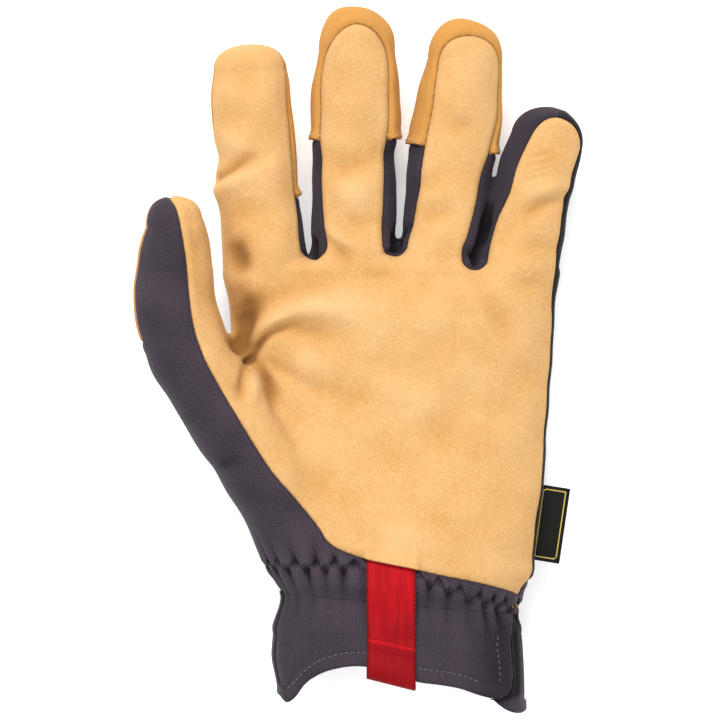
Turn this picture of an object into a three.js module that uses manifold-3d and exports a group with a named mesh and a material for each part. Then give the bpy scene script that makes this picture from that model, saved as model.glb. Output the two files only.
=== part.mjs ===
// A left-hand mechanic's glove, filled out as if a hand were in it, lying on its back with the palm up.
// +X runs from the thumb to the little finger, +Y from the cuff to the fingertips, +Z out of the palm.
// The origin is the middle of the flat patch under the back of the hand, on which the glove rests.
// The glove is a hollow wall. Lofted hand, fingers and thumb are joined, hollowed, and then cut along the
// sewn seams into the panels of the real glove, with a narrow gap left at each seam.
import * as THREE from "three";
import { mergeVertices } from "three/addons/utils/BufferGeometryUtils.js";
import Module from "manifold-3d";

const wasm = await Module();
wasm.setup();

// Driving dimensions, in millimetres.
const WALL = 1.6; // fabric and suede with their lining
const SEAM_GAP = 0.3; // gap between two panels that are sewn together
const FINGER_LENGTH = 86.4; // middle finger, from the crotch line to its tip
const FINGER_WIDTH = 29; // middle finger, across its tip cover
const FINGER_DEPTH = 22.5; // finger, from its pad to its back
const FINGER_CURL = 7; // how far the middle fingertip rises above its root
const FINGER_SHIFT = -1.3; // how far the fingers stand to the side of the origin
const PALM_LENGTH = 116; // from the gathered wrist to the crotch line
const PALM_RISE = 50.3; // from the origin to the crotch line
const HAND_DEPTH = 33; // from the back of the hand to the palm, at the knuckles
const THUMB_LENGTH = 117; // from the thumb's root near the wrist to its tip, along Y
const THUMB_SPREAD = 49.5; // how far the tip stands to the side of the root
const THUMB_LIFT = 18; // how far the tip stands above the root
const THUMB_WIDTH = 29;
const THUMB_DEPTH = 25;
const WRIST_WIDTH = 80.5;
const WRIST_DEPTH = 38;
const WRIST_SLOPE = 0.085; // how steeply the line of gathers falls towards the little finger's side
const CUFF_LENGTH = 34.5; // from the gathers to the corners of the hem
const CUFF_WIDTH = 84;
const CUFF_DEPTH = 43;
const GATHERS = 22; // number of folds that the elastic pulls up round the wrist
const GATHER_DEPTH = 1.3; // height of those folds
const HEM_WIDTH = 3.6;
const HEM_RAISE = 0.6; // how far the folded hem stands out from the cuff
const COVER_RAISE = 0.7; // how far a fingertip cover stands out from the fabric
const TAB_WIDTH = 15.2;
const TAB_LENGTH = 42; // from its sewn end on the palm to its fold past the hem
const TAB_THICKNESS = 1.2;
const TAB_TUCK = 12; // length of the tab's end that is folded back inside the cuff
const TAG_LENGTH = 25.5;
const TAG_WIDTH = 9.6; // of the part of the side tag that stands out
const TAG_THICKNESS = 0.9;
const PAST_TIP = 4; // how far the cuts at the thumb reach past its tip

const CROTCH_Y = PALM_RISE;
const WRIST_Y = PALM_RISE - PALM_LENGTH;
const FINGER_Z = HAND_DEPTH / 2;
const FAR = 3 * PALM_LENGTH; // past every side of the glove
const LINING_SPREAD = 1.7; // creases are wider inside, where the skin has fewer points
const FACET_TOLERANCE = 0.08; // facets flatter than this are joined
const SIDES = { finger: 16, hand: 2 * GATHERS, lining: { finger: 10, hand: GATHERS } };
const LOOKS = {
  suede: { color: 0xe3b06f, roughness: 0.92 },
  leather: { color: 0xd7964a, roughness: 0.7 },
  fabric: { color: 0x4b4049, roughness: 0.85 },
  back: { color: 0x231f21, roughness: 0.9 },
  webbing: { color: 0xc11f2e, roughness: 0.6 },
  tag: { color: 0x24261f, roughness: 0.7 },
};

// The fingers from the thumb's side. Width and length are shares of the middle finger's, lean is in degrees
// towards the little finger, apart is the space to the next root as a share of the finger width, and
// set_back is a share of the finger's length. seam_left and seam_right say where the palm suede ends at
// the root and at the tip, as shares of the finger's half width, inset how far it stops short of the
// tip, as a share of the finger width, and cover how much of the finger its tip cover takes. A higher
// blunt squares the tip.
// In sections, left, right and depth are shares of half the finger's width and depth.
const FINGERS = [
  {
    name: "index",
    width: 0.97,
    length: 0.852,
    lean: -3.4,
    apart: 0.083,
    set_back: 0,
    seam_left: [-1.4, -1.4],
    seam_right: [0.8, 0.96],
    inset: -0.1,
    cover: 0.7,
    blunt: 2.8,
    sections: [
      { at: -0.25, left: 0.85, right: 0.85, depth: 0.9 },
      { at: 0.0, left: 1.02, right: 1.12, depth: 1.1 },
      { at: 0.2, left: 1.03, right: 1.02, depth: 1.04 },
      { at: 0.42, left: 1.07, right: 0.94, depth: 1.0 },
      { at: 0.49, left: 0.9, right: 0.94, depth: 0.92 },
      { at: 0.6, left: 1.01, right: 0.91, depth: 0.97 },
      { at: 0.78, left: 0.96, right: 0.85, depth: 0.94 },
      { at: 0.88, left: 0.91, right: 0.77, depth: 0.86 },
    ],
  },
  {
    name: "middle",
    width: 1.0,
    length: 1.0,
    lean: -0.7,
    apart: 0,
    set_back: 0,
    seam_left: [-0.7, -0.86],
    seam_right: [0.68, 0.8],
    inset: 0.17,
    cover: 0.515,
    blunt: 2.3,
    sections: [
      { at: -0.22, left: 0.85, right: 0.85, depth: 0.9 },
      { at: 0.0, left: 1.06, right: 1.08, depth: 1.12 },
      { at: 0.12, left: 1.0, right: 1.0, depth: 1.06 },
      { at: 0.3, left: 0.98, right: 1.02, depth: 1.02 },
      { at: 0.42, left: 0.95, right: 0.98, depth: 0.97 },
      { at: 0.5, left: 0.93, right: 1.07, depth: 0.95 },
      { at: 0.62, left: 0.96, right: 1.08, depth: 0.98 },
      { at: 0.75, left: 0.85, right: 1.06, depth: 0.94 },
      { at: 0.83, left: 0.76, right: 1.0, depth: 0.87 },
    ],
  },
  {
    name: "ring",
    width: 0.97,
    length: 0.958,
    lean: 6.4,
    apart: -0.01,
    set_back: 0,
    seam_left: [-0.66, -0.78],
    seam_right: [0.6, 0.93],
    inset: 0.14,
    cover: 0.53,
    blunt: 2.3,
    sections: [
      { at: -0.22, left: 0.85, right: 0.85, depth: 0.9 },
      { at: 0.0, left: 1.06, right: 1.04, depth: 1.08 },
      { at: 0.12, left: 0.97, right: 1.04, depth: 1.04 },
      { at: 0.26, left: 0.98, right: 1.05, depth: 1.0 },
      { at: 0.4, left: 0.99, right: 1.07, depth: 0.97 },
      { at: 0.5, left: 1.03, right: 1.1, depth: 0.95 },
      { at: 0.62, left: 0.96, right: 1.08, depth: 0.97 },
      { at: 0.75, left: 0.87, right: 1.04, depth: 0.93 },
      { at: 0.83, left: 0.79, right: 0.97, depth: 0.86 },
    ],
  },
  {
    name: "little",
    width: 0.84,
    length: 0.662,
    lean: 13.8,
    apart: 0,
    set_back: 0.05,
    seam_left: [-0.54, -0.66],
    seam_right: [0.9, 0.93],
    inset: 0.08,
    cover: 0,
    blunt: 2.4,
    sections: [
      { at: -0.3, left: 0.85, right: 1.08, depth: 0.95 },
      { at: 0.0, left: 1.04, right: 1.18, depth: 1.08 },
      { at: 0.15, left: 1.03, right: 1.15, depth: 1.02 },
      { at: 0.32, left: 1.04, right: 1.1, depth: 0.96 },
      { at: 0.5, left: 1.03, right: 1.08, depth: 0.92 },
      { at: 0.68, left: 1.04, right: 1.08, depth: 0.9 },
      { at: 0.8, left: 0.96, right: 1.04, depth: 0.84 },
    ],
  },
];

// The hand from below the gathers to the crotch line. left and right are shares of half the knuckles' width,
// top and base are the heights of the palm and of the back as shares of the hand's depth, and folds is the
// share of the gathers' height.
const HAND = [
  { at: -0.06, left: 0.65, right: 0.77, top: 1.165, base: 0.03, folds: 0.5 },
  { at: 0.01, left: 0.655, right: 0.775, top: 1.17, base: 0.02, folds: 1 },
  { at: 0.04, left: 0.69, right: 0.8, top: 1.18, base: 0.01, folds: 0.8 },
  { at: 0.085, left: 0.725, right: 0.855, top: 1.19, base: 0.0, folds: 0.35 },
  { at: 0.14, left: 0.78, right: 0.845, top: 1.17, base: -0.01, folds: 0.1 },
  { at: 0.22, left: 0.84, right: 0.87, top: 1.14, base: -0.03, folds: 0 },
  { at: 0.31, left: 0.87, right: 0.9, top: 1.08, base: -0.04, folds: 0 },
  { at: 0.4, left: 0.88, right: 0.92, top: 1.02, base: -0.05, folds: 0 },
  { at: 0.49, left: 0.89, right: 0.94, top: 0.98, base: -0.05, folds: 0 },
  { at: 0.58, left: 0.92, right: 0.955, top: 0.95, base: -0.05, folds: 0 },
  { at: 0.67, left: 0.935, right: 0.965, top: 0.95, base: -0.05, folds: 0 },
  { at: 0.76, left: 0.94, right: 0.97, top: 0.96, base: -0.05, folds: 0 },
  { at: 0.84, left: 0.95, right: 0.975, top: 0.96, base: -0.05, folds: 0 },
  { at: 0.91, left: 0.965, right: 0.99, top: 0.93, base: -0.03, folds: 0 },
  { at: 0.97, left: 0.975, right: 1.0, top: 0.87, base: 0.04, folds: 0 },
  { at: 1.01, left: 0.94, right: 0.955, top: 0.74, base: 0.2, folds: 0 },
];

// The thumb from its root in the heel of the hand. along, across and rise are shares of its length,
// spread and lift, and left, right and depth of half its width and depth. seam is the edge of the suede, as a
// share of the half width to the right of the middle.
const THUMB_ROOT = { x: -0.48, y: -0.905, z: 0.6 }; // shares of the half knuckles, palm rise and hand depth
const THUMB = [
  { along: 0.0, across: 0.0, rise: 0.0, left: 0.85, right: 0.8, depth: 1.15, seam: 0.35 },
  { along: 0.188, across: 0.255, rise: 0.16, left: 1.07, right: 1.0, depth: 1.28, seam: 0.3 },
  { along: 0.344, across: 0.511, rise: 0.3, left: 1.03, right: 1.05, depth: 1.24, seam: 0.2 },
  { along: 0.479, across: 0.717, rise: 0.46, left: 1.0, right: 1.02, depth: 1.12, seam: 0.16 },
  { along: 0.58, across: 0.845, rise: 0.6, left: 1.03, right: 1.0, depth: 1.06, seam: 0.16 },
  { along: 0.69, across: 0.915, rise: 0.74, left: 1.02, right: 0.98, depth: 1.0, seam: 0.24 },
  { along: 0.8, across: 0.939, rise: 0.87, left: 0.91, right: 0.87, depth: 0.95, seam: 0.27 },
  { along: 0.883, across: 0.944, rise: 0.95, left: 0.79, right: 0.78, depth: 0.84, seam: 0.18 },
  { along: 0.93, across: 0.955, rise: 0.99, left: 0.66, right: 0.68, depth: 0.72, seam: 0.0 },
];

// The suede's lower edge from the thumb's root to the little finger's side: share of half the knuckles'
// width, and height above the gathers as a share of the palm's length.
const SUEDE_EDGE = [
  { across: -0.455, up: 0.222 },
  { across: -0.32, up: 0.173 },
  { across: -0.13, up: 0.127 },
  { across: 0.14, up: 0.092 },
  { across: 0.43, up: 0.076 },
  { across: 0.6, up: 0.052 },
  { across: 0.72, up: 0.034 },
  { across: 0.8, up: 0.018 },
];

// The cuff from the gathers to its corners: flare is the share of the way from the wrist's size to its own.
const CUFF = [
  { at: -0.16, flare: 0.0, folds: 0.6 },
  { at: 0.02, flare: 0.0, folds: 1.0 },
  { at: 0.14, flare: 0.1, folds: 0.8 },
  { at: 0.32, flare: 0.45, folds: 0.4 },
  { at: 0.6, flare: 0.85, folds: 0.2 },
  { at: 0.85, flare: 1.0, folds: 0.0 },
  { at: 1.06, flare: 1.1, folds: 0.0 },
];

// The hem's edge on the palm half and on the back half, across the cuff from the thumb's side: rise is the
// share of the cuff's length by which it lies above the corners.
const HEM = [
  { across: -1.2, palm: -0.02, back: -0.02 },
  { across: -0.98, palm: 0.0, back: 0.0 },
  { across: -0.86, palm: 0.16, back: 0.2 },
  { across: -0.7, palm: 0.31, back: 0.36 },
  { across: -0.45, palm: 0.36, back: 0.42 },
  { across: -0.2, palm: 0.33, back: 0.4 },
  { across: 0.1, palm: 0.24, back: 0.32 },
  { across: 0.4, palm: 0.16, back: 0.22 },
  { across: 0.7, palm: 0.12, back: 0.12 },
  { across: 0.98, palm: 0.1, back: 0.02 },
  { across: 1.2, palm: 0.1, back: -0.02 },
];

// The vent beside the little finger's side of the hem: where the palm half and the back half of the cuff end,
// as shares of half the cuff's width, down the share `at` of the cuff's length.
const VENT = [
  { at: -0.1, palm: 0.96, back: 0.97 },
  { at: 0.14, palm: 0.94, back: 0.955 },
  { at: 0.36, palm: 0.84, back: 0.87 },
  { at: 0.8, palm: 0.8, back: 0.88 },
  { at: 0.93, palm: 0.72, back: 0.9 },
  { at: 1.2, palm: 0.66, back: 0.92 },
];

// Where the seam between the palm's side and the back runs, seen from the side: height above the
// resting face as a share of the hand's depth, and place along the hand, from the crotch line, as a share
// of the palm's length.
const BACK_SEAM = [
  { along: -2, height: 0.45 },
  { along: -0.9, height: 0.42 },
  { along: -0.5, height: 0.34 },
  { along: 0.0, height: 0.36 },
  { along: 0.4, height: 0.42 },
  { along: 0.8, height: 0.58 },
  { along: 2, height: 0.6 },
];

// Creases and hollows of the palm, each from one point to another in plan: x as a share of half the
// knuckles' width, y of the palm's rise, and depth and spread of the hand's depth.
const CREASES = [
  { name: "crotch to palm", x: -0.84, y: 0.38, to_x: -0.62, to_y: 0.55, depth: 0.05, spread: 0.2 },
  { name: "across the palm", x: -0.62, y: 0.55, to_x: -0.2, to_y: 0.52, depth: 0.045, spread: 0.22 },
  { name: "crotch to heel", x: -0.8, y: 0.28, to_x: -0.68, to_y: -0.12, depth: 0.04, spread: 0.2 },
  { name: "crotch to middle", x: -0.8, y: 0.34, to_x: -0.5, to_y: 0.14, depth: 0.02, spread: 0.18 },
  { name: "base of index", x: -0.9, y: 0.55, to_x: -0.86, to_y: 0.72, depth: 0.05, spread: 0.25 },
  { name: "side of index", x: -0.94, y: 0.95, to_x: -0.88, to_y: 1.12, depth: 0.045, spread: 0.2 },
  { name: "fold of index", x: -1.06, y: 1.66, to_x: -0.76, to_y: 1.78, depth: 0.04, spread: 0.14 },
  { name: "hollow of palm", x: -0.3, y: 0.1, to_x: 0.2, to_y: -0.1, depth: 0.05, spread: 0.8 },
  { name: "base of fingers", x: -0.3, y: 0.82, to_x: 0.7, to_y: 0.78, depth: 0.03, spread: 0.3 },
];

const lerp = THREE.MathUtils.lerp;

// One column of a table of rows in order of `at`, between its rows.
function column(rows, name, at) {
  const next = Math.max(rows.findIndex((row) => row.at >= at), 0) || rows.length - 1;
  const [a, b] = [rows[next - 1], rows[next]];
  return lerp(a[name], b[name], Math.min((at - a.at) / (b.at - a.at), 1));
}

const vec = (x, y, z = 0) => new THREE.Vector3(x, y, z);

function solidOf(geometry) {
  for (const name of Object.keys(geometry.attributes)) {
    if (name !== "position") geometry.deleteAttribute(name);
  }
  const merged = mergeVertices(geometry, 1e-4);
  return new wasm.Manifold(
    new wasm.Mesh({
      numProp: 3,
      vertProperties: merged.attributes.position.array,
      triVerts: new Uint32Array(merged.index.array),
    }),
  );
}

// A closed skin over rings of points, from the far ring to the near one, with a point amid each end.
function loft(rings) {
  const sides = rings[0].length;
  const points = rings.flat();
  const triangles = [];
  for (let r = 0; r + 1 < rings.length; r += 1) {
    for (let i = 0; i < sides; i += 1) {
      const [a, b] = [r * sides + i, r * sides + ((i + 1) % sides)];
      triangles.push(a, b, b + sides, a, b + sides, a + sides);
    }
  }
  const middle = (ring) => ring.reduce((sum, p) => sum.add(p), vec(0, 0)).divideScalar(sides);
  const [first, last] = [points.length, points.length + 1];
  const end = (rings.length - 1) * sides;
  points.push(middle(rings[0]), middle(rings.at(-1)));
  for (let i = 0; i < sides; i += 1) {
    const next = (i + 1) % sides;
    triangles.push(first, next, i, last, end + i, end + next);
  }
  const geometry = new THREE.BufferGeometry().setFromPoints(points);
  geometry.setIndex(triangles);
  return solidOf(geometry);
}

// How deep the creases are at a point, seen in plan, with their spread times `wider`.
function creaseAt(point, wider) {
  const depths = CREASES.map((row) => {
    const from = vec(row.x * HALF_HAND, row.y * PALM_RISE);
    const to = vec(row.to_x * HALF_HAND, row.to_y * PALM_RISE);
    const nearest = new THREE.Line3(from, to).closestPointToPoint(point.clone().setZ(0), true, vec(0, 0));
    const away = nearest.distanceTo(point.clone().setZ(0)) / (wider * row.spread * HAND_DEPTH);
    return row.depth * HAND_DEPTH * Math.exp(-(away ** 2));
  });
  return depths.reduce((sum, depth) => sum + depth);
}

// A rounded ring about `middle`: half sizes to the left, right, top and base, a power that squares its
// corners, and the depth of the folds that run along the tube.
function ring({ middle, across, up, half, power, sides, folds = 0, lining = false }) {
  return Array.from({ length: sides }, (_, i) => {
    const angle = (i / sides) * 2 * Math.PI;
    const [c, s] = [Math.cos(angle), Math.sin(angle)];
    const wide = Math.sign(c) * Math.abs(c) ** (2 / power);
    const high = Math.sign(s) * Math.abs(s) ** (2 / power);
    const sunk = (folds / 2) * (1 - Math.cos(GATHERS * angle));
    const point = middle
      .clone()
      .addScaledVector(across, wide * ((c < 0 ? half.left : half.right) - sunk))
      .addScaledVector(up, high * ((s < 0 ? half.base : half.top) - sunk));
    point.z -= Math.max(high, 0) * creaseAt(point, lining ? LINING_SPREAD : 1);
    return point;
  });
}

// An outline seen from the palm, as a solid through the whole depth or up to `high`.
function prism(outline, high = FAR) {
  const shape = new THREE.Shape(outline.map((p) => new THREE.Vector2(p.x, p.y)));
  const geometry = new THREE.ExtrudeGeometry(shape, { depth: high + FAR, bevelEnabled: false });
  return solidOf(geometry.translate(0, 0, -FAR));
}

// The same outline, moved outwards everywhere by `by`. It must run anticlockwise.
function widen(outline, by) {
  return outline.map((p, i) => {
    const before = p.clone().sub(outline.at(i - 1)).normalize();
    const after = outline[(i + 1) % outline.length].clone().sub(p).normalize();
    const out = vec(before.y + after.y, -before.x - after.x).normalize();
    const miter = Math.max(out.x * after.y - out.y * after.x, 0.4);
    return p.clone().addScaledVector(out, by / miter);
  });
}

const unite = (solids) => solids.reduce((a, b) => a.add(b));
const UP = vec(0, 0, 1);
const ACROSS = vec(1, 0);
const DOME = [0.42, 0.76, 0.95]; // steps along a rounded tip

// Finger roots stand side by side across the crotch line, from the thumb's side.
const shares = FINGERS.reduce((sum, row) => sum + row.width + row.apart, 0);
const HALF_HAND = (shares * FINGER_WIDTH) / 2;
let edge = FINGER_SHIFT - HALF_HAND;
const fingers = FINGERS.map((row) => {
  const width = row.width * FINGER_WIDTH;
  const length = row.length * FINGER_LENGTH;
  const lean = THREE.MathUtils.degToRad(row.lean);
  const root = vec(edge + width / 2, CROTCH_Y - row.set_back * length, FINGER_Z);
  edge += width + row.apart * FINGER_WIDTH;
  const along = vec(Math.sin(lean), Math.cos(lean));
  const across = vec(Math.cos(lean), -Math.sin(lean));
  return { ...row, half: width / 2, length, root, along, across };
});

// Every second row of a table, and its last, which is enough for the smooth inside.
const thin = (rows) => rows.filter((row, i) => i % 2 === 0 || row === rows.at(-1));

// The middle of a finger, `s` past its root, rising as the finger curls.
function fingerMiddle(finger, s) {
  const middle = finger.root.clone().addScaledVector(finger.along, s);
  middle.z += FINGER_CURL * (Math.max(s, 0) / FINGER_LENGTH) ** 2;
  return middle;
}

function fingerSolid(finger, grow, lining = false) {
  const sides = lining ? SIDES.lining.finger : SIDES.finger;
  const rows = lining ? thin(finger.sections) : finger.sections;
  const size = (row, shrink = 1) => ({
    left: (row.left * finger.half + grow) * shrink,
    right: (row.right * finger.half + grow) * shrink,
    top: ((row.depth * FINGER_DEPTH) / 2 + grow) * shrink,
    base: ((row.depth * FINGER_DEPTH) / 2 + grow) * shrink,
  });
  const slice = (s, half) => {
    const middle = fingerMiddle(finger, s);
    return ring({ middle, across: finger.across, up: UP, half, power: 2.2, sides, lining });
  };
  const rings = rows.map((row) => slice(row.at * finger.length, size(row)));
  const last = finger.sections.at(-1);
  const shoulder = last.at * finger.length;
  const dome = finger.length - shoulder + grow;
  for (const step of DOME) {
    const shrink = (1 - step ** finger.blunt) ** (1 / finger.blunt);
    rings.push(slice(shoulder + dome * step, size(last, shrink)));
  }
  return loft(rings.reverse());
}

// A tube of the hand is "folded" outside, a "lining" that clears its folds inside, or "smooth".
const foldsOf = (row, kind) => ({
  folds: kind === "folded" ? row.folds * GATHER_DEPTH : 0,
  sides: kind === "lining" ? SIDES.lining.hand : SIDES.hand,
  lining: kind === "lining",
});

function handSolid(grow, kind) {
  const rows = kind === "lining" ? thin(HAND) : HAND;
  const rings = rows.map((row) => {
    const sunk = kind === "lining" ? row.folds * GATHER_DEPTH - grow : -grow;
    const [top, base] = [row.top * HAND_DEPTH, row.base * HAND_DEPTH];
    const half = {
      left: row.left * HALF_HAND - sunk,
      right: row.right * HALF_HAND - sunk,
      top: (top - base) / 2 - sunk,
      base: (top - base) / 2 - sunk,
    };
    const middle = vec(0, WRIST_Y + row.at * PALM_LENGTH, (top + base) / 2);
    const power = lerp(2.2, 2.6, Math.min(1, 3 * Math.max(row.at, 0)));
    return ring({ middle, across: ACROSS, up: UP, half, power, ...foldsOf(row, kind) });
  });
  rings.at(-1).forEach((point) => point.setY(point.y + grow));
  return loft(rings.reverse());
}

const thumbRoot = vec(THUMB_ROOT.x * HALF_HAND, THUMB_ROOT.y * PALM_RISE, THUMB_ROOT.z * HAND_DEPTH);
const thumbSpan = vec(-THUMB_SPREAD, THUMB_LENGTH, THUMB_LIFT);
const thumbPoint = (row) => vec(row.across, row.along, row.rise).multiply(thumbSpan).add(thumbRoot);
const thumbTip = thumbPoint({ across: 1, along: 1, rise: 1 });
const thumbMiddles = [...THUMB.map(thumbPoint), thumbTip];
const thumbSections = THUMB.map((row, i) => {
  const tangent = thumbMiddles[i + 1].clone().sub(thumbMiddles[Math.max(i - 1, 0)]).normalize();
  const across = vec(0, 0).crossVectors(tangent, UP).normalize();
  const up = vec(0, 0).crossVectors(across, tangent).normalize();
  return { ...row, middle: thumbMiddles[i], across, up };
});

function thumbSolid(grow, lining) {
  const sides = lining ? SIDES.lining.finger : SIDES.finger;
  const rows = lining ? thin(thumbSections) : thumbSections;
  const size = (row, shrink = 1) => ({
    left: ((row.left * THUMB_WIDTH) / 2 + grow) * shrink,
    right: ((row.right * THUMB_WIDTH) / 2 + grow) * shrink,
    top: ((row.depth * THUMB_DEPTH) / 2 + grow) * shrink,
    base: ((row.depth * THUMB_DEPTH) / 2 + grow) * shrink,
  });
  const slice = (row, half) => ring({ ...row, half, power: 2.2, sides, lining });
  const rings = rows.map((row) => slice(row, size(row)));
  const last = thumbSections.at(-1);
  const reach = thumbTip.clone().sub(last.middle);
  reach.setLength(reach.length() + grow);
  for (const step of DOME) {
    const middle = last.middle.clone().addScaledVector(reach, step);
    rings.push(slice({ ...last, middle }, size(last, Math.sqrt(1 - step ** 2))));
  }
  return loft(rings.reverse());
}

const CUFF_X = ((HAND[0].right - HAND[0].left) / 2) * HALF_HAND;
const WRIST_Z = ((HAND[0].top + HAND[0].base) / 2) * HAND_DEPTH;
const HEM_Z = 0.47 * CUFF_DEPTH;

function cuffSolid(grow, kind) {
  const rings = CUFF.map((row) => {
    const sunk = kind === "lining" ? row.folds * GATHER_DEPTH - grow : -grow;
    const width = lerp(WRIST_WIDTH, CUFF_WIDTH, row.flare);
    const depth = lerp(WRIST_DEPTH, CUFF_DEPTH, row.flare);
    const middle = vec(CUFF_X, WRIST_Y - row.at * CUFF_LENGTH, lerp(WRIST_Z, HEM_Z, row.flare));
    const [wide, high] = [width / 2 - sunk, depth / 2 - sunk];
    const half = { left: wide, right: wide, top: high, base: high };
    return ring({ middle, across: ACROSS, up: UP, half, power: 2.2, ...foldsOf(row, kind) });
  });
  return loft(rings);
}

// The line of gathers, which falls towards the little finger's side.
const gatherLine = (x) => WRIST_Y - WRIST_SLOPE * (x - CUFF_X);
const cuffBelow = (by) =>
  prism([vec(-FAR, -FAR), vec(FAR, -FAR), vec(FAR, gatherLine(FAR) - by), vec(-FAR, gatherLine(-FAR) - by)]);

const floorCut = (z) => prism([vec(-FAR, -FAR), vec(FAR, -FAR), vec(FAR, FAR), vec(-FAR, FAR)], z);

// Everything of the hand above the gathers, as one closed skin.
function handSkin(grow, lining = false) {
  return unite([
    handSolid(grow, lining ? "lining" : "folded"),
    thumbSolid(grow, lining),
    ...fingers.map((finger) => fingerSolid(finger, grow, lining)),
  ]);
}

const hollow = handSkin(-WALL, true).subtract(floorCut(WALL));
let hand = handSkin(0).subtract(floorCut(0)).subtract(hollow).subtract(cuffBelow(0));

// Points in plan, `s` along a finger and `v` across it.
const onFinger = (finger, s, v) =>
  finger.root.clone().addScaledVector(finger.along, s).addScaledVector(finger.across, v).setZ(0);

// The edge of the palm suede on one finger, up its left seam, round its tip and down its right seam.
function fingerEdge(finger) {
  const end = finger.length - finger.inset * FINGER_WIDTH;
  const straight = end - 0.42 * FINGER_WIDTH;
  const seam = (side, name, s) => {
    const share = s / finger.length;
    return lerp(...side, share) * column(finger.sections, name, share) * finger.half;
  };
  const steps = [0.06, 0.3, 0.5].map((share) => share * finger.length);
  const left = [...steps, straight].map((s) => onFinger(finger, s, seam(finger.seam_left, "left", s)));
  const right = [...steps, straight].map((s) => onFinger(finger, s, seam(finger.seam_right, "right", s)));
  const arc = [150, 120, 90, 60, 30].map((degrees) => {
    const angle = THREE.MathUtils.degToRad(degrees);
    const from = seam(finger.seam_left, "left", straight);
    const to = seam(finger.seam_right, "right", straight);
    const v = (from + to) / 2 + (Math.cos(angle) * (to - from)) / 2;
    return onFinger(finger, straight + Math.sin(angle) * (end - straight), v);
  });
  return [...left, ...arc, ...right.reverse()];
}

// The round end of the dark strip between two fingers, below the crotch.
function webEnd(a, b) {
  const from = fingerEdge(a).at(-1);
  const to = fingerEdge(b)[0];
  const middle = from.clone().add(to).divideScalar(2);
  const half = from.distanceTo(to) / 2;
  return [-0.75, 0, 0.75].map((share) =>
    middle.clone().add(vec(share * half, -half * Math.sqrt(1 - share ** 2) - 0.01 * FINGER_LENGTH)),
  );
}

const thumbSeam = thumbSections.map((row) =>
  row.middle.clone().addScaledVector(row.across, (row.seam * THUMB_WIDTH) / 2).setZ(0),
);
const suedeEdge = SUEDE_EDGE.map((row) =>
  vec(row.across * HALF_HAND, WRIST_Y + row.up * PALM_LENGTH),
);
const [index, middleFinger, ringFinger, little] = fingers;
const littleSide = [0.93, 0.85, 0.7, 0.5, 0.3, 0.18, 0.08].map((at) => {
  const row = HAND.find((section) => section.at >= at);
  return vec(0.955 * row.right * HALF_HAND, WRIST_Y + row.at * PALM_LENGTH);
});
const suedeOutline = [
  ...suedeEdge,
  ...littleSide.slice().reverse(),
  ...fingerEdge(little).reverse(),
  ...webEnd(ringFinger, little).reverse(),
  ...fingerEdge(ringFinger).reverse(),
  ...webEnd(middleFinger, ringFinger).reverse(),
  ...fingerEdge(middleFinger).reverse(),
  ...webEnd(index, middleFinger).reverse(),
  ...fingerEdge(index).slice(4).reverse(),
  onFinger(index, 1.1 * index.length, -1.6 * index.half),
  thumbTip.clone().add(vec(0.5 * THUMB_WIDTH, PAST_TIP)).setZ(0),
  thumbTip.clone().add(vec(0, PAST_TIP)).setZ(0),
  ...thumbSeam.slice(1).reverse(),
];

// Everything above the seam between the palm's side and the back of the hand, moved down by `by`.
function aboveBackSeam(by) {
  const seam = BACK_SEAM.map((row) =>
    new THREE.Vector2(CROTCH_Y + row.along * PALM_LENGTH, row.height * HAND_DEPTH - by),
  );
  const top = [new THREE.Vector2(seam.at(-1).x, FAR), new THREE.Vector2(seam[0].x, FAR)];
  const shape = new THREE.Shape([...seam, ...top]);
  const geometry = new THREE.ExtrudeGeometry(shape, { depth: 2 * FAR, bevelEnabled: false });
  geometry.translate(0, 0, -FAR);
  return solidOf(geometry.applyMatrix4(new THREE.Matrix4().makeBasis(vec(0, 1), UP, ACROSS)));
}

// The largest body of a solid, without the crumbs that a cut along a curved wall can leave.
const whole = (solid) => solid.decompose().sort((a, b) => b.volume() - a.volume())[0];

const pieces = {};

// Takes a panel out of the hand's skin and leaves the gap of a seam round it.
function cutPanel(outline, upperOnly = true) {
  const reach = (by) => {
    const block = prism(widen(outline, by));
    return upperOnly ? block.intersect(aboveBackSeam(by)) : block;
  };
  const panel = whole(hand.intersect(reach(0)));
  hand = hand.subtract(reach(SEAM_GAP));
  return panel;
}

pieces.palm_panel = [cutPanel(suedeOutline), "suede"];
const aroundSuede = prism(widen(suedeOutline, SEAM_GAP)).intersect(aboveBackSeam(SEAM_GAP));

// Tip covers, which stand out from the finger and end in a straight cut edge.
for (const finger of fingers.filter((row) => row.cover > 0)) {
  const start = (1 - finger.cover) * finger.length;
  const box = (by) => {
    const v = 1.5 * finger.half;
    const end = 1.2 * finger.length;
    const corners = [[start - by, v], [end, v], [end, -v], [start - by, -v]];
    return prism(corners.map(([s, side]) => onFinger(finger, s, side)));
  };
  const raised = fingerSolid(finger, COVER_RAISE);
  const cover = raised.subtract(fingerSolid(finger, -WALL, true)).intersect(box(0));
  pieces[`${finger.name}_tip_cover`] = [whole(cover.subtract(aroundSuede)), "leather"];
  hand = hand.subtract(fingerSolid(finger, COVER_RAISE + SEAM_GAP).intersect(box(SEAM_GAP)));
}

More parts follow.
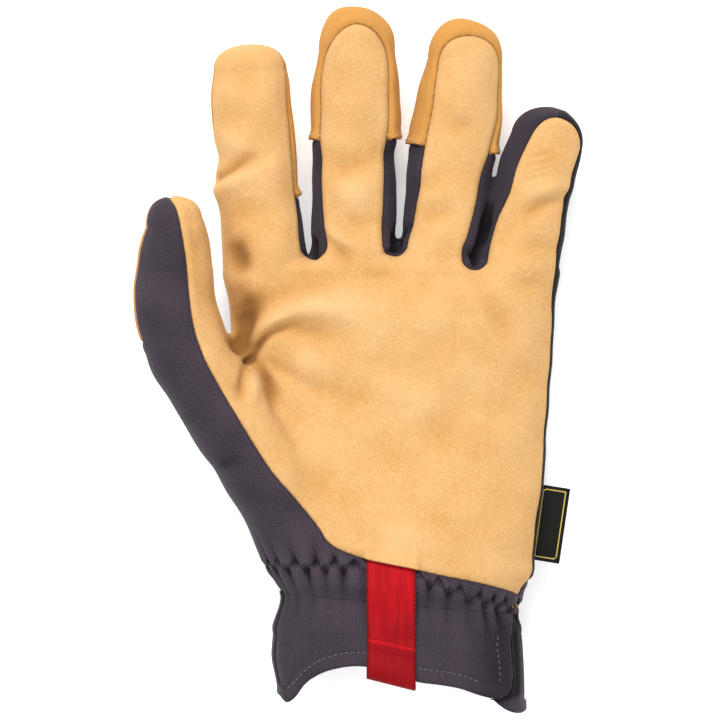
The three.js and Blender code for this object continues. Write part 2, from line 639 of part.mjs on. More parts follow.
// The guard on the nail side of the thumb, between two rays from the middle of each section.
const GUARD_FROM = 4; // the first row of the thumb's table that it covers
const GUARD_RAYS = { upper: [-0.93, 0.42], side: [-2.5, 0], lower: [-0.85, -0.75] };
function guardSpace(by) {
  const past = { ...thumbSections.at(-1), middle: thumbTip.clone().add(vec(0, 2 * WALL)) };
  const near = thumbSections[GUARD_FROM];
  const first = { ...near, middle: near.middle.clone().add(vec(0, -by)) };
  const rings = [first, ...thumbSections.slice(GUARD_FROM + 1), past].map((row) => {
    const point = ([u, w], shift) =>
      row.middle
        .clone()
        .addScaledVector(row.across, u * row.left * THUMB_WIDTH)
        .addScaledVector(row.up, w * row.depth * THUMB_DEPTH + shift);
    const inner = row.middle.clone().addScaledVector(row.across, by);
    return [inner, point(GUARD_RAYS.upper, by), point(GUARD_RAYS.side, 0), point(GUARD_RAYS.lower, -by)];
  });
  return loft(rings.reverse());
}
pieces.thumb_guard = [whole(hand.intersect(guardSpace(0))), "leather"];
hand = hand.subtract(guardSpace(SEAM_GAP));

// The dark strips between the fingers. The last one goes on over the tip of the little finger.
const strips = [
  ["index_middle", index, middleFinger, 0],
  ["middle_ring", middleFinger, ringFinger, 0],
  ["ring_little", ringFinger, little, 0.4],
];
for (const [name, a, b, past] of strips) {
  const outline = [
    onFinger(a, -0.14 * a.length, 0),
    onFinger(b, -0.14 * b.length, past * b.half),
    onFinger(b, 1.1 * b.length, past * b.half),
    onFinger(a, 1.1 * a.length, 0),
  ];
  pieces[`side_strip_${name}`] = [cutPanel(outline), "fabric"];
}

// The dark panel of the thumb, which runs on below the suede to the gathers.
const thumbOutline = [
  vec(-FAR, -FAR),
  vec(0.9 * HALF_HAND, -FAR),
  suedeEdge.at(-1).clone().add(vec(0.1 * HALF_HAND, 2)),
  vec(0, 0),
  vec(-0.8 * HALF_HAND, 0.3 * PALM_RISE),
  thumbTip.clone().add(vec(0.45 * THUMB_WIDTH, PAST_TIP)).setZ(0),
  vec(-FAR, FAR),
];
pieces.thumb_panel = [cutPanel(thumbOutline), "fabric"];
pieces.back_panel = [whole(hand), "back"];

// The hem's edge on one half of the cuff, and everything on the wrist's side of it.
function insideHem(side, shift) {
  const line = HEM.map((row) =>
    vec(CUFF_X + (row.across * CUFF_WIDTH) / 2, WRIST_Y - CUFF_LENGTH * (1 - row[side]) + shift),
  );
  return prism([...line, vec(line.at(-1).x, 0), vec(line[0].x, 0)]);
}

// Everything of the cuff on the thumb's side of the vent, above its side seam.
function ventSide(side, by) {
  const line = VENT.map((row) => vec(CUFF_X + (row[side] * CUFF_WIDTH) / 2, WRIST_Y - row.at * CUFF_LENGTH));
  const end = line.at(-1).x;
  const outline = [vec(-FAR, 0), vec(-FAR, -FAR), vec(end, -FAR), ...line.reverse(), vec(end, 0)];
  return prism(outline).subtract(floorCut(WRIST_Z - by));
}

function cuffWall(side) {
  const hem = cuffSolid(HEM_RAISE, "folded").subtract(insideHem(side, HEM_WIDTH));
  const wall = cuffSolid(0, "folded").add(hem).subtract(cuffSolid(-WALL, "lining")).subtract(floorCut(0));
  return wall.intersect(insideHem(side, 0)).intersect(cuffBelow(SEAM_GAP));
}
pieces.cuff_palm = [whole(cuffWall("palm").intersect(ventSide("palm", 0))), "fabric"];
pieces.cuff_back = [whole(cuffWall("back").subtract(ventSide("back", SEAM_GAP))), "fabric"];

// The pull tab: a strip over the gathers and the cuff, folded round the hem and back up inside the cuff.
const TAB_TOP = { x: -0.018 * HALF_HAND, y: WRIST_Y + 0.122 * PALM_LENGTH };
const TAB_FOOT = { x: 0.011 * HALF_HAND, y: TAB_TOP.y - TAB_LENGTH };
const TAB_SLANT = 0.3; // how steeply its folded end falls towards the little finger's side
const sleeve = (grow, kind) => handSolid(grow, kind).add(cuffSolid(grow, kind));
function tabStrip(from, to, half) {
  const corner = (y, side) => {
    const middle = lerp(TAB_TOP.x, TAB_FOOT.x, (y - TAB_TOP.y) / (TAB_FOOT.y - TAB_TOP.y));
    return vec(middle + side * half, y - side * half * TAB_SLANT);
  };
  const outline = [corner(to, -1), corner(to, 1), corner(from, 1), corner(from, -1)];
  return prism(outline).subtract(floorCut(WRIST_Z));
}
const outside = HEM_RAISE + SEAM_GAP;
const inside = -WALL - SEAM_GAP;
const gapRound = sleeve(outside, "smooth").subtract(sleeve(inside, "lining"));
const tabBody = sleeve(outside + TAB_THICKNESS, "smooth")
  .subtract(sleeve(inside - TAB_THICKNESS, "lining"))
  .intersect(tabStrip(TAB_TOP.y, TAB_FOOT.y, TAB_WIDTH / 2))
  .subtract(gapRound.intersect(tabStrip(0, TAB_FOOT.y + TAB_THICKNESS, TAB_WIDTH)))
  .subtract(sleeve(inside, "lining").intersect(tabStrip(0, TAB_FOOT.y + TAB_TUCK, TAB_WIDTH)));
pieces.pull_tab = [whole(tabBody), "webbing"];

// The side tag stands out flat from the little finger's side, at the height where the hand is widest.
const TAG_AT = { x: 0.9915 * HALF_HAND, y: -0.77 * PALM_RISE, turn: -6.5 };
const tagGeometry = new THREE.BoxGeometry(2 * TAG_WIDTH, TAG_LENGTH, TAG_THICKNESS);
tagGeometry.translate(-TAG_WIDTH / 2, 0, 0);
tagGeometry.rotateZ(THREE.MathUtils.degToRad(TAG_AT.turn));
tagGeometry.translate(TAG_AT.x, TAG_AT.y, HAND_DEPTH / 2);
pieces.side_tag = [whole(solidOf(tagGeometry).subtract(handSolid(SEAM_GAP, "folded"))), "tag"];

const group = new THREE.Group();
for (const [name, [solid, look]] of Object.entries(pieces)) {
  const { vertProperties, triVerts } = whole(solid.simplify(FACET_TOLERANCE)).getMesh();
  const geometry = new THREE.BufferGeometry();
  geometry.setAttribute("position", new THREE.BufferAttribute(vertProperties, 3));
  geometry.setIndex(new THREE.BufferAttribute(triVerts, 1));
  const mesh = new THREE.Mesh(geometry, new THREE.MeshStandardMaterial({ ...LOOKS[look], metalness: 0 }));
  mesh.name = name;
  group.add(mesh);
}

export default group;
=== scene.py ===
"""A left-hand mechanic's glove lying on its back, palm up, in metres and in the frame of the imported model.

The glove's skin is worked out as a field, a smooth union of rounded tubes whose sections come from the same
tables as the solids. A net is laid over it, cut along the seams into the sewn panels, and each panel is then
dented, creased and rolled in at its seams. All tables and functions work in millimetres.
"""
import math

import bpy
import numpy as np
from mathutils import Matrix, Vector


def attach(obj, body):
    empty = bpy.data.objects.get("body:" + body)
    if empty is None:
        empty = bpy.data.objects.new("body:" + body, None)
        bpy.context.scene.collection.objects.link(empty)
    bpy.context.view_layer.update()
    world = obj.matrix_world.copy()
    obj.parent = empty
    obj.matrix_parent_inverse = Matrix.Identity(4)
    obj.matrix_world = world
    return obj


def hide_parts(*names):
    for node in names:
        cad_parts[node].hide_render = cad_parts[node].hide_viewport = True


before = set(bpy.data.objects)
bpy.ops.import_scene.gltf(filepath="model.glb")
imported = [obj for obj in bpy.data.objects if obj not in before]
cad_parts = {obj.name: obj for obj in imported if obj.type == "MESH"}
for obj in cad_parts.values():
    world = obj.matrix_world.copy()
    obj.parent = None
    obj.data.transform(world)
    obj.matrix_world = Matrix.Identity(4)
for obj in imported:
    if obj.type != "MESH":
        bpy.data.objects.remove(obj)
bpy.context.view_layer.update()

MM = 0.001

# Sizes of the glove, in millimetres, as the solids have them.
FINGER_LENGTH, FINGER_WIDTH, FINGER_DEPTH = 86.4, 29.0, 22.5
FINGER_CURL, FINGER_SHIFT = 7.0, -1.3
PALM_LENGTH, PALM_RISE, HAND_DEPTH = 116.0, 50.3, 33.0
THUMB_SPAN = np.array([-49.5, 117.0, 18.0])
THUMB_WIDTH, THUMB_DEPTH = 29.0, 25.0
WRIST_WIDTH, WRIST_DEPTH, WRIST_SLOPE = 80.5, 38.0, 0.085
CUFF_LENGTH, CUFF_WIDTH, CUFF_DEPTH = 34.5, 84.0, 43.0
HEM_WIDTH, HEM_RAISE, COVER_RAISE = 4.6, 0.6, 0.4
TAB_WIDTH, TAB_X = 16.3, 0.3
TAG_LENGTH, TAG_WIDTH = 25.5, 13.6
WALL = 1.5
WRIST_RADIUS, THUMB_RADIUS, FINGER_RADIUS = 38, 14, 13  # turn an angle into the way round, for the weave
RIM_REACH = 8.0  # how far from a seam points are still measured
ON_LINE = 0.35  # how near to a line the points of a panel's rim count as lying on it
WRIST_Y = PALM_RISE - PALM_LENGTH
FINGER_Z = HAND_DEPTH / 2
FAR = 30.0  # the value of a field well away from its part
NET_STEP = 0.75  # size of the faces of the glove's skin

SLOTS = {
    "palm_panel": "palm_suede", "index_tip_cover": "tip_leather", "middle_tip_cover": "tip_leather",
    "ring_tip_cover": "tip_leather", "thumb_guard": "tip_leather",
    "side_strip_index_middle": "stretch_fabric", "side_strip_middle_ring": "stretch_fabric",
    "side_strip_ring_little": "stretch_fabric", "thumb_panel": "stretch_fabric",
    "cuff_palm": "stretch_fabric", "cuff_back": "stretch_fabric", "back_panel": "back_fabric",
    "pull_tab": "webbing", "side_tag": "tag_weave",
}


def table(names, *rows):
    """Rows of numbers as one array for each named column."""
    return dict(zip(names.split(), np.array(rows, float).T))


def read(rows, name, at):
    """A column of a table at `at`: a cubic through its rows, as steep at each as between its neighbours."""
    x, y = rows["at"], rows[name]
    slope = np.gradient(y, x)
    i = np.clip(np.searchsorted(x, at) - 1, 0, len(x) - 2)
    step = x[i + 1] - x[i]
    t = np.clip((at - x[i]) / step, 0, 1)
    ease = t * t * (3 - 2 * t)
    bend = t * (1 - t) * ((1 - t) * slope[i] - t * slope[i + 1]) * step
    return y[i] + ease * (y[i + 1] - y[i]) + bend


# The fingers: shares of the middle finger's width and length, lean in degrees towards the little finger,
# space to the next root, how far the root is set back, how square the tip is and how much of the finger its
# tip cover takes. suede is the edge of the palm suede, up the left side, round the tip and down the right
# side: shares of the reach from the root, and of the half width from the middle.
FINGERS = {
    "index": dict(
        width=0.97, length=0.852, lean=-3.4, apart=0.083, set_back=0, blunt=2.6, cover=0.7,
        suede=[
            (1.1, -1.6), (1.06, -0.3), (1.02, 0.4), (0.985, 0.62), (0.955, 0.7), (0.91, 0.75),
            (0.827, 0.79), (0.734, 0.825), (0.55, 0.85), (0.388, 0.875), (0.287, 0.89), (0.204, 0.89),
            (0.111, 0.91), (0.06, 0.942),
        ],
        sections=table(
            "at left right depth",
            (-0.25, 0.85, 0.85, 0.9), (0.0, 0.98, 1.06, 1.1), (0.2, 1.0, 0.96, 1.04),
            (0.42, 1.03, 0.93, 1.0), (0.5, 0.93, 0.94, 0.93), (0.6, 1.0, 0.91, 0.97),
            (0.78, 0.96, 0.85, 0.94), (0.88, 0.91, 0.77, 0.86),
        ),
    ),
    "middle": dict(
        width=1.0, length=1.0, lean=-0.7, apart=0, set_back=0, blunt=2.3, cover=0.515,
        suede=[
            (0.093, -0.664), (0.183, -0.728), (0.242, -0.758), (0.438, -0.767), (0.594, -0.76),
            (0.711, -0.736), (0.789, -0.672), (0.852, -0.504), (0.902, -0.267), (0.931, 0.084),
            (0.914, 0.433), (0.877, 0.663), (0.826, 0.81), (0.763, 0.86), (0.63, 0.855), (0.473, 0.82),
            (0.395, 0.768), (0.239, 0.704), (0.083, 0.664),
        ],
        sections=table(
            "at left right depth",
            (-0.22, 0.85, 0.85, 0.9), (0.0, 1.06, 1.08, 1.12), (0.12, 1.0, 1.0, 1.06),
            (0.3, 0.98, 1.02, 1.02), (0.42, 0.95, 0.98, 0.97), (0.5, 0.93, 1.07, 0.95),
            (0.62, 0.96, 1.08, 0.98), (0.75, 0.85, 1.06, 0.94), (0.83, 0.76, 1.0, 0.87),
        ),
    ),
    "ring": dict(
        width=0.97, length=0.958, lean=6.4, apart=-0.01, set_back=0, blunt=2.3, cover=0.53,
        suede=[
            (0.073, -0.805), (0.148, -0.746), (0.239, -0.69), (0.363, -0.66), (0.446, -0.645),
            (0.528, -0.62), (0.653, -0.58), (0.755, -0.566), (0.825, -0.545), (0.877, -0.44),
            (0.916, -0.213), (0.936, 0.161), (0.928, 0.504), (0.894, 0.781), (0.846, 0.915), (0.765, 0.985),
            (0.691, 1.01), (0.601, 1.0), (0.476, 0.93), (0.371, 0.824), (0.225, 0.726), (0.121, 0.626),
            (0.062, 0.544),
        ],
        sections=table(
            "at left right depth",
            (-0.22, 0.85, 0.85, 0.9), (0.0, 1.06, 1.04, 1.08), (0.12, 0.97, 1.07, 1.04),
            (0.26, 0.98, 1.09, 1.0), (0.4, 0.99, 1.08, 0.97), (0.5, 1.03, 1.1, 0.95),
            (0.62, 0.96, 1.08, 0.97), (0.75, 0.87, 1.04, 0.93), (0.83, 0.79, 0.97, 0.86),
        ),
    ),
    "little": dict(
        width=0.84, length=0.655, lean=13.8, apart=0, set_back=0.05, blunt=2.4, cover=0,
        suede=[
            (0.029, -0.836), (0.137, -0.861), (0.247, -0.846), (0.343, -0.756), (0.453, -0.665),
            (0.574, -0.65), (0.667, -0.605), (0.751, -0.526), (0.829, -0.43), (0.89, -0.301),
            (0.93, -0.119), (0.95, 0.087), (0.951, 0.342), (0.933, 0.621), (0.889, 0.829), (0.828, 0.935),
            (0.749, 0.945), (0.611, 0.93), (0.474, 0.93), (0.324, 0.966), (0.176, 1.037),
        ],
        sections=table(
            "at left right depth",
            (-0.3, 0.85, 1.08, 0.95), (0.0, 1.06, 1.18, 1.08), (0.15, 1.11, 1.15, 1.02),
            (0.32, 1.13, 1.1, 0.96), (0.5, 1.15, 1.06, 0.92), (0.68, 1.1, 1.04, 0.9),
            (0.8, 0.98, 0.98, 0.84),
        ),
    ),
}

# The hand from below the gathers to the crotch line: sides as shares of half the knuckles' width, heights
# of the palm and of the back as shares of the hand's depth.
HAND = table(
    "at left right top base",
    (-0.06, 0.65, 0.77, 1.165, 0.03), (0.01, 0.655, 0.775, 1.17, 0.02), (0.04, 0.69, 0.8, 1.18, 0.01),
    (0.085, 0.725, 0.865, 1.19, 0.0), (0.14, 0.78, 0.88, 1.17, -0.01), (0.22, 0.84, 0.9, 1.14, -0.03),
    (0.31, 0.87, 0.92, 1.08, -0.04), (0.4, 0.88, 0.94, 1.02, -0.05), (0.49, 0.89, 0.955, 0.98, -0.05),
    (0.58, 0.92, 0.967, 0.95, -0.05), (0.67, 0.935, 0.977, 0.95, -0.05), (0.76, 0.94, 0.99, 0.96, -0.05),
    (0.84, 0.95, 1.0, 0.96, -0.05), (0.91, 0.965, 1.01, 0.93, -0.03), (0.96, 0.97, 1.01, 0.88, 0.03),
)

# The thumb from its root: along, across and rise are shares of its span, the others of half its width and
# depth.
THUMB_ROOT = np.array([-0.48, -0.905, 0.6])
THUMB = table(
    "at across rise left right depth",
    (0.0, 0.0, 0.0, 0.85, 0.8, 1.15), (0.188, 0.255, 0.16, 1.07, 1.0, 1.28),
    (0.344, 0.511, 0.3, 1.03, 1.05, 1.24), (0.479, 0.717, 0.46, 1.0, 1.02, 1.12),
    (0.58, 0.845, 0.6, 1.02, 1.0, 1.06), (0.69, 0.915, 0.74, 0.99, 0.98, 1.0),
    (0.8, 0.94, 0.87, 0.86, 0.92, 0.95), (0.883, 0.95, 0.95, 0.69, 0.9, 0.84),
    (0.93, 0.963, 0.99, 0.54, 0.77, 0.72), (1.0, 1.01, 1.0, 0.3, 0.3, 0.3),
)
THUMB_SHOULDER, GUARD_START = 0.93, 0.62
GUARD_RAYS = np.array([(-0.96, 0.26), (-0.85, -0.75)])  # across and up, to its upper and its lower edge

# Edges of the palm suede in plan: beside the thumb from its tip to the wrist, and along the wrist.
THUMB_SEAM = [
    (-75.2, 77.0), (-74.3, 71.8), (-72.1, 68.3), (-70.8, 64.1), (-69.4, 57.4), (-68.2, 49.8), (-67.7, 43.9),
    (-67.1, 35.5), (-65.7, 27.1), (-63.7, 20.4), (-61.5, 15.3), (-57.3, 7.7), (-51.9, -1.5), (-45.2, -12.6),
    (-39.1, -21.7), (-31.4, -30.4),
]
SUEDE_EDGE = table(
    "across up",
    (-0.436, 0.228), (-0.382, 0.187), (-0.303, 0.161), (-0.195, 0.142), (-0.134, 0.132), (0.004, 0.117),
    (0.149, 0.104), (0.3, 0.088), (0.499, 0.069), (0.62, 0.054), (0.74, 0.036), (0.782, 0.027),
)
CUFF = table(
    "at flare",
    (-0.16, 0.0), (0.02, 0.0), (0.14, 0.1), (0.32, 0.45), (0.6, 0.85), (0.85, 1.0), (1.06, 1.1),
)
HEM = table(
    "at palm back",
    (-1.2, 0.2, 0.2), (-1.0, 0.1, 0.1), (-0.94, 0.04, 0.05), (-0.87, 0.08, 0.1), (-0.78, 0.206, 0.25),
    (-0.644, 0.325, 0.38), (-0.482, 0.391, 0.45), (-0.265, 0.403, 0.46), (-0.06, 0.34, 0.42),
    (0.135, 0.258, 0.34), (0.318, 0.226, 0.29), (0.48, 0.188, 0.26), (0.615, 0.128, 0.22),
    (0.72, 0.09, 0.14), (0.8, 0.08, 0.05), (0.88, 0.08, -0.04), (0.97, 0.08, -0.07), (1.2, 0.08, 0.1),
)
VENT_TOP = 0.06
VENT = table(
    "at palm",
    (-0.1, 0.96), (0.084, 0.925), (0.22, 0.885), (0.348, 0.861), (0.516, 0.87), (0.742, 0.877),
    (0.838, 0.861), (0.9, 0.81), (0.935, 0.72), (1.2, 0.2),
)
ELASTIC = table(
    "at up",
    (-60, -52.4), (-33.7, -52.6), (-13.6, -52.6), (-1.8, -54.0), (10.0, -56.3), (20.1, -60.3), (30.2, -63.7),
    (40.2, -66.1), (60, -66.5),
)
BACK_SEAM = table(
    "at height",
    (-2, 0.45), (-0.9, 0.42), (-0.5, 0.34), (0.0, 0.36), (0.3, 0.42), (0.45, 0.6), (0.63, 0.65), (0.8, 0.7),
    (2, 0.7),
)

# Where each finger stands: its root in plan and the directions along and across it.
HALF_HAND = sum(row["width"] + row["apart"] for row in FINGERS.values()) * FINGER_WIDTH / 2
CUFF_X = (HAND["right"][0] - HAND["left"][0]) / 2 * HALF_HAND
WRIST_Z = (HAND["top"][0] + HAND["base"][0]) / 2 * HAND_DEPTH
HEM_Z = 0.47 * CUFF_DEPTH
edge = FINGER_SHIFT - HALF_HAND
for row in FINGERS.values():
    lean = math.radians(row["lean"])
    row["half"] = row["width"] * FINGER_WIDTH / 2
    row["reach"] = row["length"] * FINGER_LENGTH
    row["root"] = np.array([edge + row["half"], PALM_RISE - row["set_back"] * row["reach"]])
    row["along"] = np.array([math.sin(lean), math.cos(lean)])
    row["across"] = np.array([math.cos(lean), -math.sin(lean)])
    edge += 2 * row["half"] + row["apart"] * FINGER_WIDTH


def unit(v):
    """Directions of length one."""
    return v / np.linalg.norm(v, axis=-1, keepdims=True)


def way_along(line):
    """How far along a line each of its points lies."""
    return np.concatenate([[0], np.cumsum(np.linalg.norm(np.diff(line, axis=0), axis=1))])


def edges_of(triangles):
    """The three edges of each triangle, with the lower point first."""
    return np.sort(np.concatenate([triangles[:, [0, 1]], triangles[:, [1, 2]], triangles[:, [2, 0]]]), axis=1)


def outside(v, w, t, dome, half, power, blunt):
    """How far points lie outside a tube: the way from its middle to the point, less the part of that way
    which is inside its superellipse. t is the share of the rounded end that they have reached, and dome its
    length."""
    left, right, top, base = half
    wide = np.abs(v) / np.where(v < 0, left, right)
    high = np.abs(w) / np.where(w < 0, base, top)
    share = (wide**power + high**power) ** (1 / power)
    share = (share**blunt + t**blunt) ** (1 / blunt)
    away = np.sqrt(v * v + w * w + (t * dome) ** 2)
    return away * (1 - 1 / np.maximum(share, 1e-3))


def on_finger(row, s, v):
    """Points in plan, s along a finger and v across it."""
    return row["root"] + np.multiply.outer(s, row["along"]) + np.multiply.outer(v, row["across"])


def finger_place(row, p):
    """How far points lie along, across and above the middle line of a finger."""
    flat = p[:, :2] - row["root"]
    s = flat @ row["along"]
    w = p[:, 2] - FINGER_Z - FINGER_CURL * (np.maximum(s, 0) / FINGER_LENGTH) ** 2
    return s, flat @ row["across"], w


def finger_field(row, p):
    """A finger: half sizes read from its sections, with a rounded end past the last and in the palm."""
    s, v, w = finger_place(row, p)
    share = s / row["reach"]
    sections = row["sections"]
    deep = read(sections, "depth", share) * FINGER_DEPTH / 2
    left, right = (read(sections, side, share) * row["half"] for side in ("left", "right"))
    shoulder = sections["at"][-1] * row["reach"]
    dome = row["reach"] - shoulder
    start = sections["at"][0] * row["reach"]
    t = np.maximum(s - shoulder, 0) / dome + np.maximum(start - s, 0) / 20
    return outside(v, w, t, dome, (left, right, deep, deep), 2.2, row["blunt"])


def hand_field(p):
    """The hand: sections square to Y, squarer towards the knuckles, with a rounded end at the crotch."""
    at = (p[:, 1] - WRIST_Y) / PALM_LENGTH
    top, base = (read(HAND, name, at) * HAND_DEPTH for name in ("top", "base"))
    left, right = (read(HAND, side, at) * HALF_HAND for side in ("left", "right"))
    half = left, right, (top - base) / 2, (top - base) / 2
    power = 2.2 + 0.4 * np.clip(3 * at, 0, 1)
    dome = 0.055 * PALM_LENGTH
    t = np.maximum(at - HAND["at"][-1], 0) * PALM_LENGTH / dome
    t = t + np.maximum(HAND["at"][0] - at, 0) * PALM_LENGTH / 6
    return outside(p[:, 0], p[:, 2] - (top + base) / 2, t, dome, half, power, 2.6)


def thumb_axis(at):
    """Points on the thumb's middle line, with the directions along it, across it and up from it."""
    def middle(share):
        shares = np.stack([read(THUMB, "across", share), share, read(THUMB, "rise", share)], -1)
        return thumb_root + shares * THUMB_SPAN
    small = 1e-3
    points = middle(at)
    along = unit(middle(np.minimum(at + small, 1)) - middle(np.maximum(at - small, 0)))
    across = unit(np.cross(along, [0, 0, 1.0]))
    return points, along, across, np.cross(across, along)


thumb_root = THUMB_ROOT * [HALF_HAND, PALM_RISE, HAND_DEPTH]
THUMB_STEPS = np.linspace(0, 1, 81)
thumb_frame = thumb_axis(THUMB_STEPS)
thumb_pace = np.linalg.norm(np.gradient(thumb_frame[0], THUMB_STEPS, axis=0), axis=1)


def thumb_place(p):
    """The share of the thumb's line nearest to each point, and how far the point lies across and above it.
    The share is found by going along the line until the point lies square to it."""
    at = (p[:, 1] - thumb_root[1]) / THUMB_SPAN[1]
    for _ in range(4):
        line, along, across, up = (
            np.stack([np.interp(at, THUMB_STEPS, column) for column in array.T], -1) for array in thumb_frame
        )
        gap = p - line
        at = np.clip(at, 0, 1) + (gap * along).sum(-1) / np.interp(at, THUMB_STEPS, thumb_pace)
    return at, (gap * across).sum(-1), (gap * up).sum(-1)


def thumb_half(at):
    """Half sizes of the thumb's section to its left, to its right and in depth."""
    kept = np.clip(at, 0, THUMB_SHOULDER)
    left, right = (read(THUMB, side, kept) * THUMB_WIDTH / 2 for side in ("left", "right"))
    return left, right, read(THUMB, "depth", kept) * THUMB_DEPTH / 2


def thumb_field(p):
    """The thumb: sections square to its curved middle line, with a rounded end past its shoulder."""
    at, v, w = thumb_place(p)
    left, right, deep = thumb_half(at)
    half = left, right, deep, deep
    dome = (1 - THUMB_SHOULDER) * thumb_pace[-1]
    t = np.maximum(at - THUMB_SHOULDER, 0) / (1 - THUMB_SHOULDER) + np.maximum(-at, 0) * thumb_pace[0] / 12
    return outside(v, w, t, dome, half, 2.2, 2.0)


def cuff_place(p):
    """How far down the cuff points lie, as a share of its length, and its half sizes and middle height."""
    at = (WRIST_Y - p[:, 1]) / CUFF_LENGTH
    flare = read(CUFF, "flare", at)
    wide = (WRIST_WIDTH + flare * (CUFF_WIDTH - WRIST_WIDTH)) / 2
    high = (WRIST_DEPTH + flare * (CUFF_DEPTH - WRIST_DEPTH)) / 2
    return at, wide, high, WRIST_Z + flare * (HEM_Z - WRIST_Z)


def cuff_field(p):
    """The cuff: superellipses square to Y that flare towards the hem."""
    at, wide, high, middle = cuff_place(p)
    t = np.maximum(CUFF["at"][0] - at, 0) * CUFF_LENGTH / 6
    return outside(p[:, 0] - CUFF_X, p[:, 2] - middle, t, 6, (wide, wide, high, high), 2.2, 2.2)


def soft_min(a, b, reach):
    """The smaller of two fields, rounded where they differ by less than `reach`."""
    h = np.maximum(reach - np.abs(a - b), 0) / reach
    return np.minimum(a, b) - h * h * reach / 4


def near(p, low, high, field):
    """A field where points are in or about a box, and FAR elsewhere."""
    inside = np.all((p > np.subtract(low, 8)) & (p < np.add(high, 8)), axis=1)
    values = np.full(len(p), FAR)
    values[inside] = field(p[inside])
    return values


finger_boxes = {}
for name, row in FINGERS.items():
    ends = on_finger(row, np.array([-0.3, 1.0]) * row["reach"], np.zeros(2))
    finger_boxes[name] = ([*(ends.min(0) - 1.2 * row["half"]), 0], [*(ends.max(0) + 1.2 * row["half"]), 40])
THUMB_BOX = ([-90, -75, 0], [0, 75, 48])
HAND_BOX = ([-60, -76, -2], [60, 60, 42])
CUFF_BOX = ([-50, -106, 0], [56, -58, 44])


def finger_fields(p):
    """The fields of the four fingers, one row each."""
    return [
        near(p, *finger_boxes[name], lambda q, row=row: finger_field(row, q)) for name, row in FINGERS.items()
    ]


def skin(p):
    """The glove's skin is where this is nought: tubes joined tightly between fingers and softly elsewhere,
    and kept above the surface that the glove lies on."""
    joined, *others = finger_fields(p)
    for field in others:
        joined = soft_min(joined, field, 1.6)
    body = soft_min(near(p, *HAND_BOX, hand_field), joined, 5.0)
    body = soft_min(body, near(p, *THUMB_BOX, thumb_field), 7.0)
    body = soft_min(body, near(p, *CUFF_BOX, cuff_field), 5.0)
    return -soft_min(-body, p[:, 2], 1.0)


def steepest(p):
    """The field's gradient, from its values a short way to both sides of each point."""
    step = 0.05
    columns = []
    for axis in range(3):
        shift = np.zeros(3)
        shift[axis] = step
        columns.append((skin(p + shift) - skin(p - shift)) / (2 * step))
    return np.stack(columns, -1)


def settle(p, times):
    """Moves points along the gradient onto the skin."""
    for _ in range(times):
        g = steepest(p)
        move = (skin(p) / np.maximum((g * g).sum(-1), 0.2))[:, None] * g
        p = p - np.clip(move, -NET_STEP, NET_STEP)
    return p


def net(values, low, step):
    """Four-sided faces where a field on a grid changes sign: a point in each crossed cell, at the mean of
    the crossings of its edges, and a face round each crossed edge."""
    inside = values < 0
    crossings, faces = [], []
    for axis in range(3):
        one = tuple(slice(0, -1) if i == axis else slice(1, -1) for i in range(3))
        two = tuple(slice(1, None) if i == axis else slice(1, -1) for i in range(3))
        start = np.argwhere(inside[one] != inside[two]) + [int(i != axis) for i in range(3)]
        end = start + [int(i == axis) for i in range(3)]
        a, b = values[tuple(start.T)], values[tuple(end.T)]
        point = start + (a / (a - b))[:, None] * (end - start)
        cells = []
        for du, dv in ((-1, -1), (0, -1), (0, 0), (-1, 0)):
            cell = start.copy()
            cell[:, (axis + 1) % 3] += du
            cell[:, (axis + 2) % 3] += dv
            cells.append(np.ravel_multi_index(tuple(cell.T), values.shape))
        face = np.stack(cells, 1)
        face[a >= 0] = face[a >= 0, ::-1]
        faces.append(face)
        crossings.append(np.repeat(point, 4, axis=0))
    names, faces = np.unique(np.concatenate(faces), return_inverse=True)
    crossings = np.concatenate(crossings)
    count = np.bincount(faces.ravel())
    points = np.stack([np.bincount(faces.ravel(), column) / count for column in crossings.T], -1)
    return low + step * points, faces.reshape(-1, 4)


def smooth_out(p, faces, times):
    """Moves each point along the skin towards the mean of its neighbours, which evens out the faces."""
    after = np.roll(faces, -1, 1)
    here, there = np.concatenate([faces, after]).ravel(), np.concatenate([after, faces]).ravel()
    count = np.bincount(here, minlength=len(p))
    for _ in range(times):
        mean = np.stack([np.bincount(here, column[there], minlength=len(p)) for column in p.T], -1)
        move = mean / np.maximum(count, 1)[:, None] - p
        g = unit(steepest(p))
        p = p + 0.6 * (move - (move * g).sum(-1, keepdims=True) * g)
    return p


SNAP = 0.22  # a crossing nearer than this share of its edge to a point takes that point


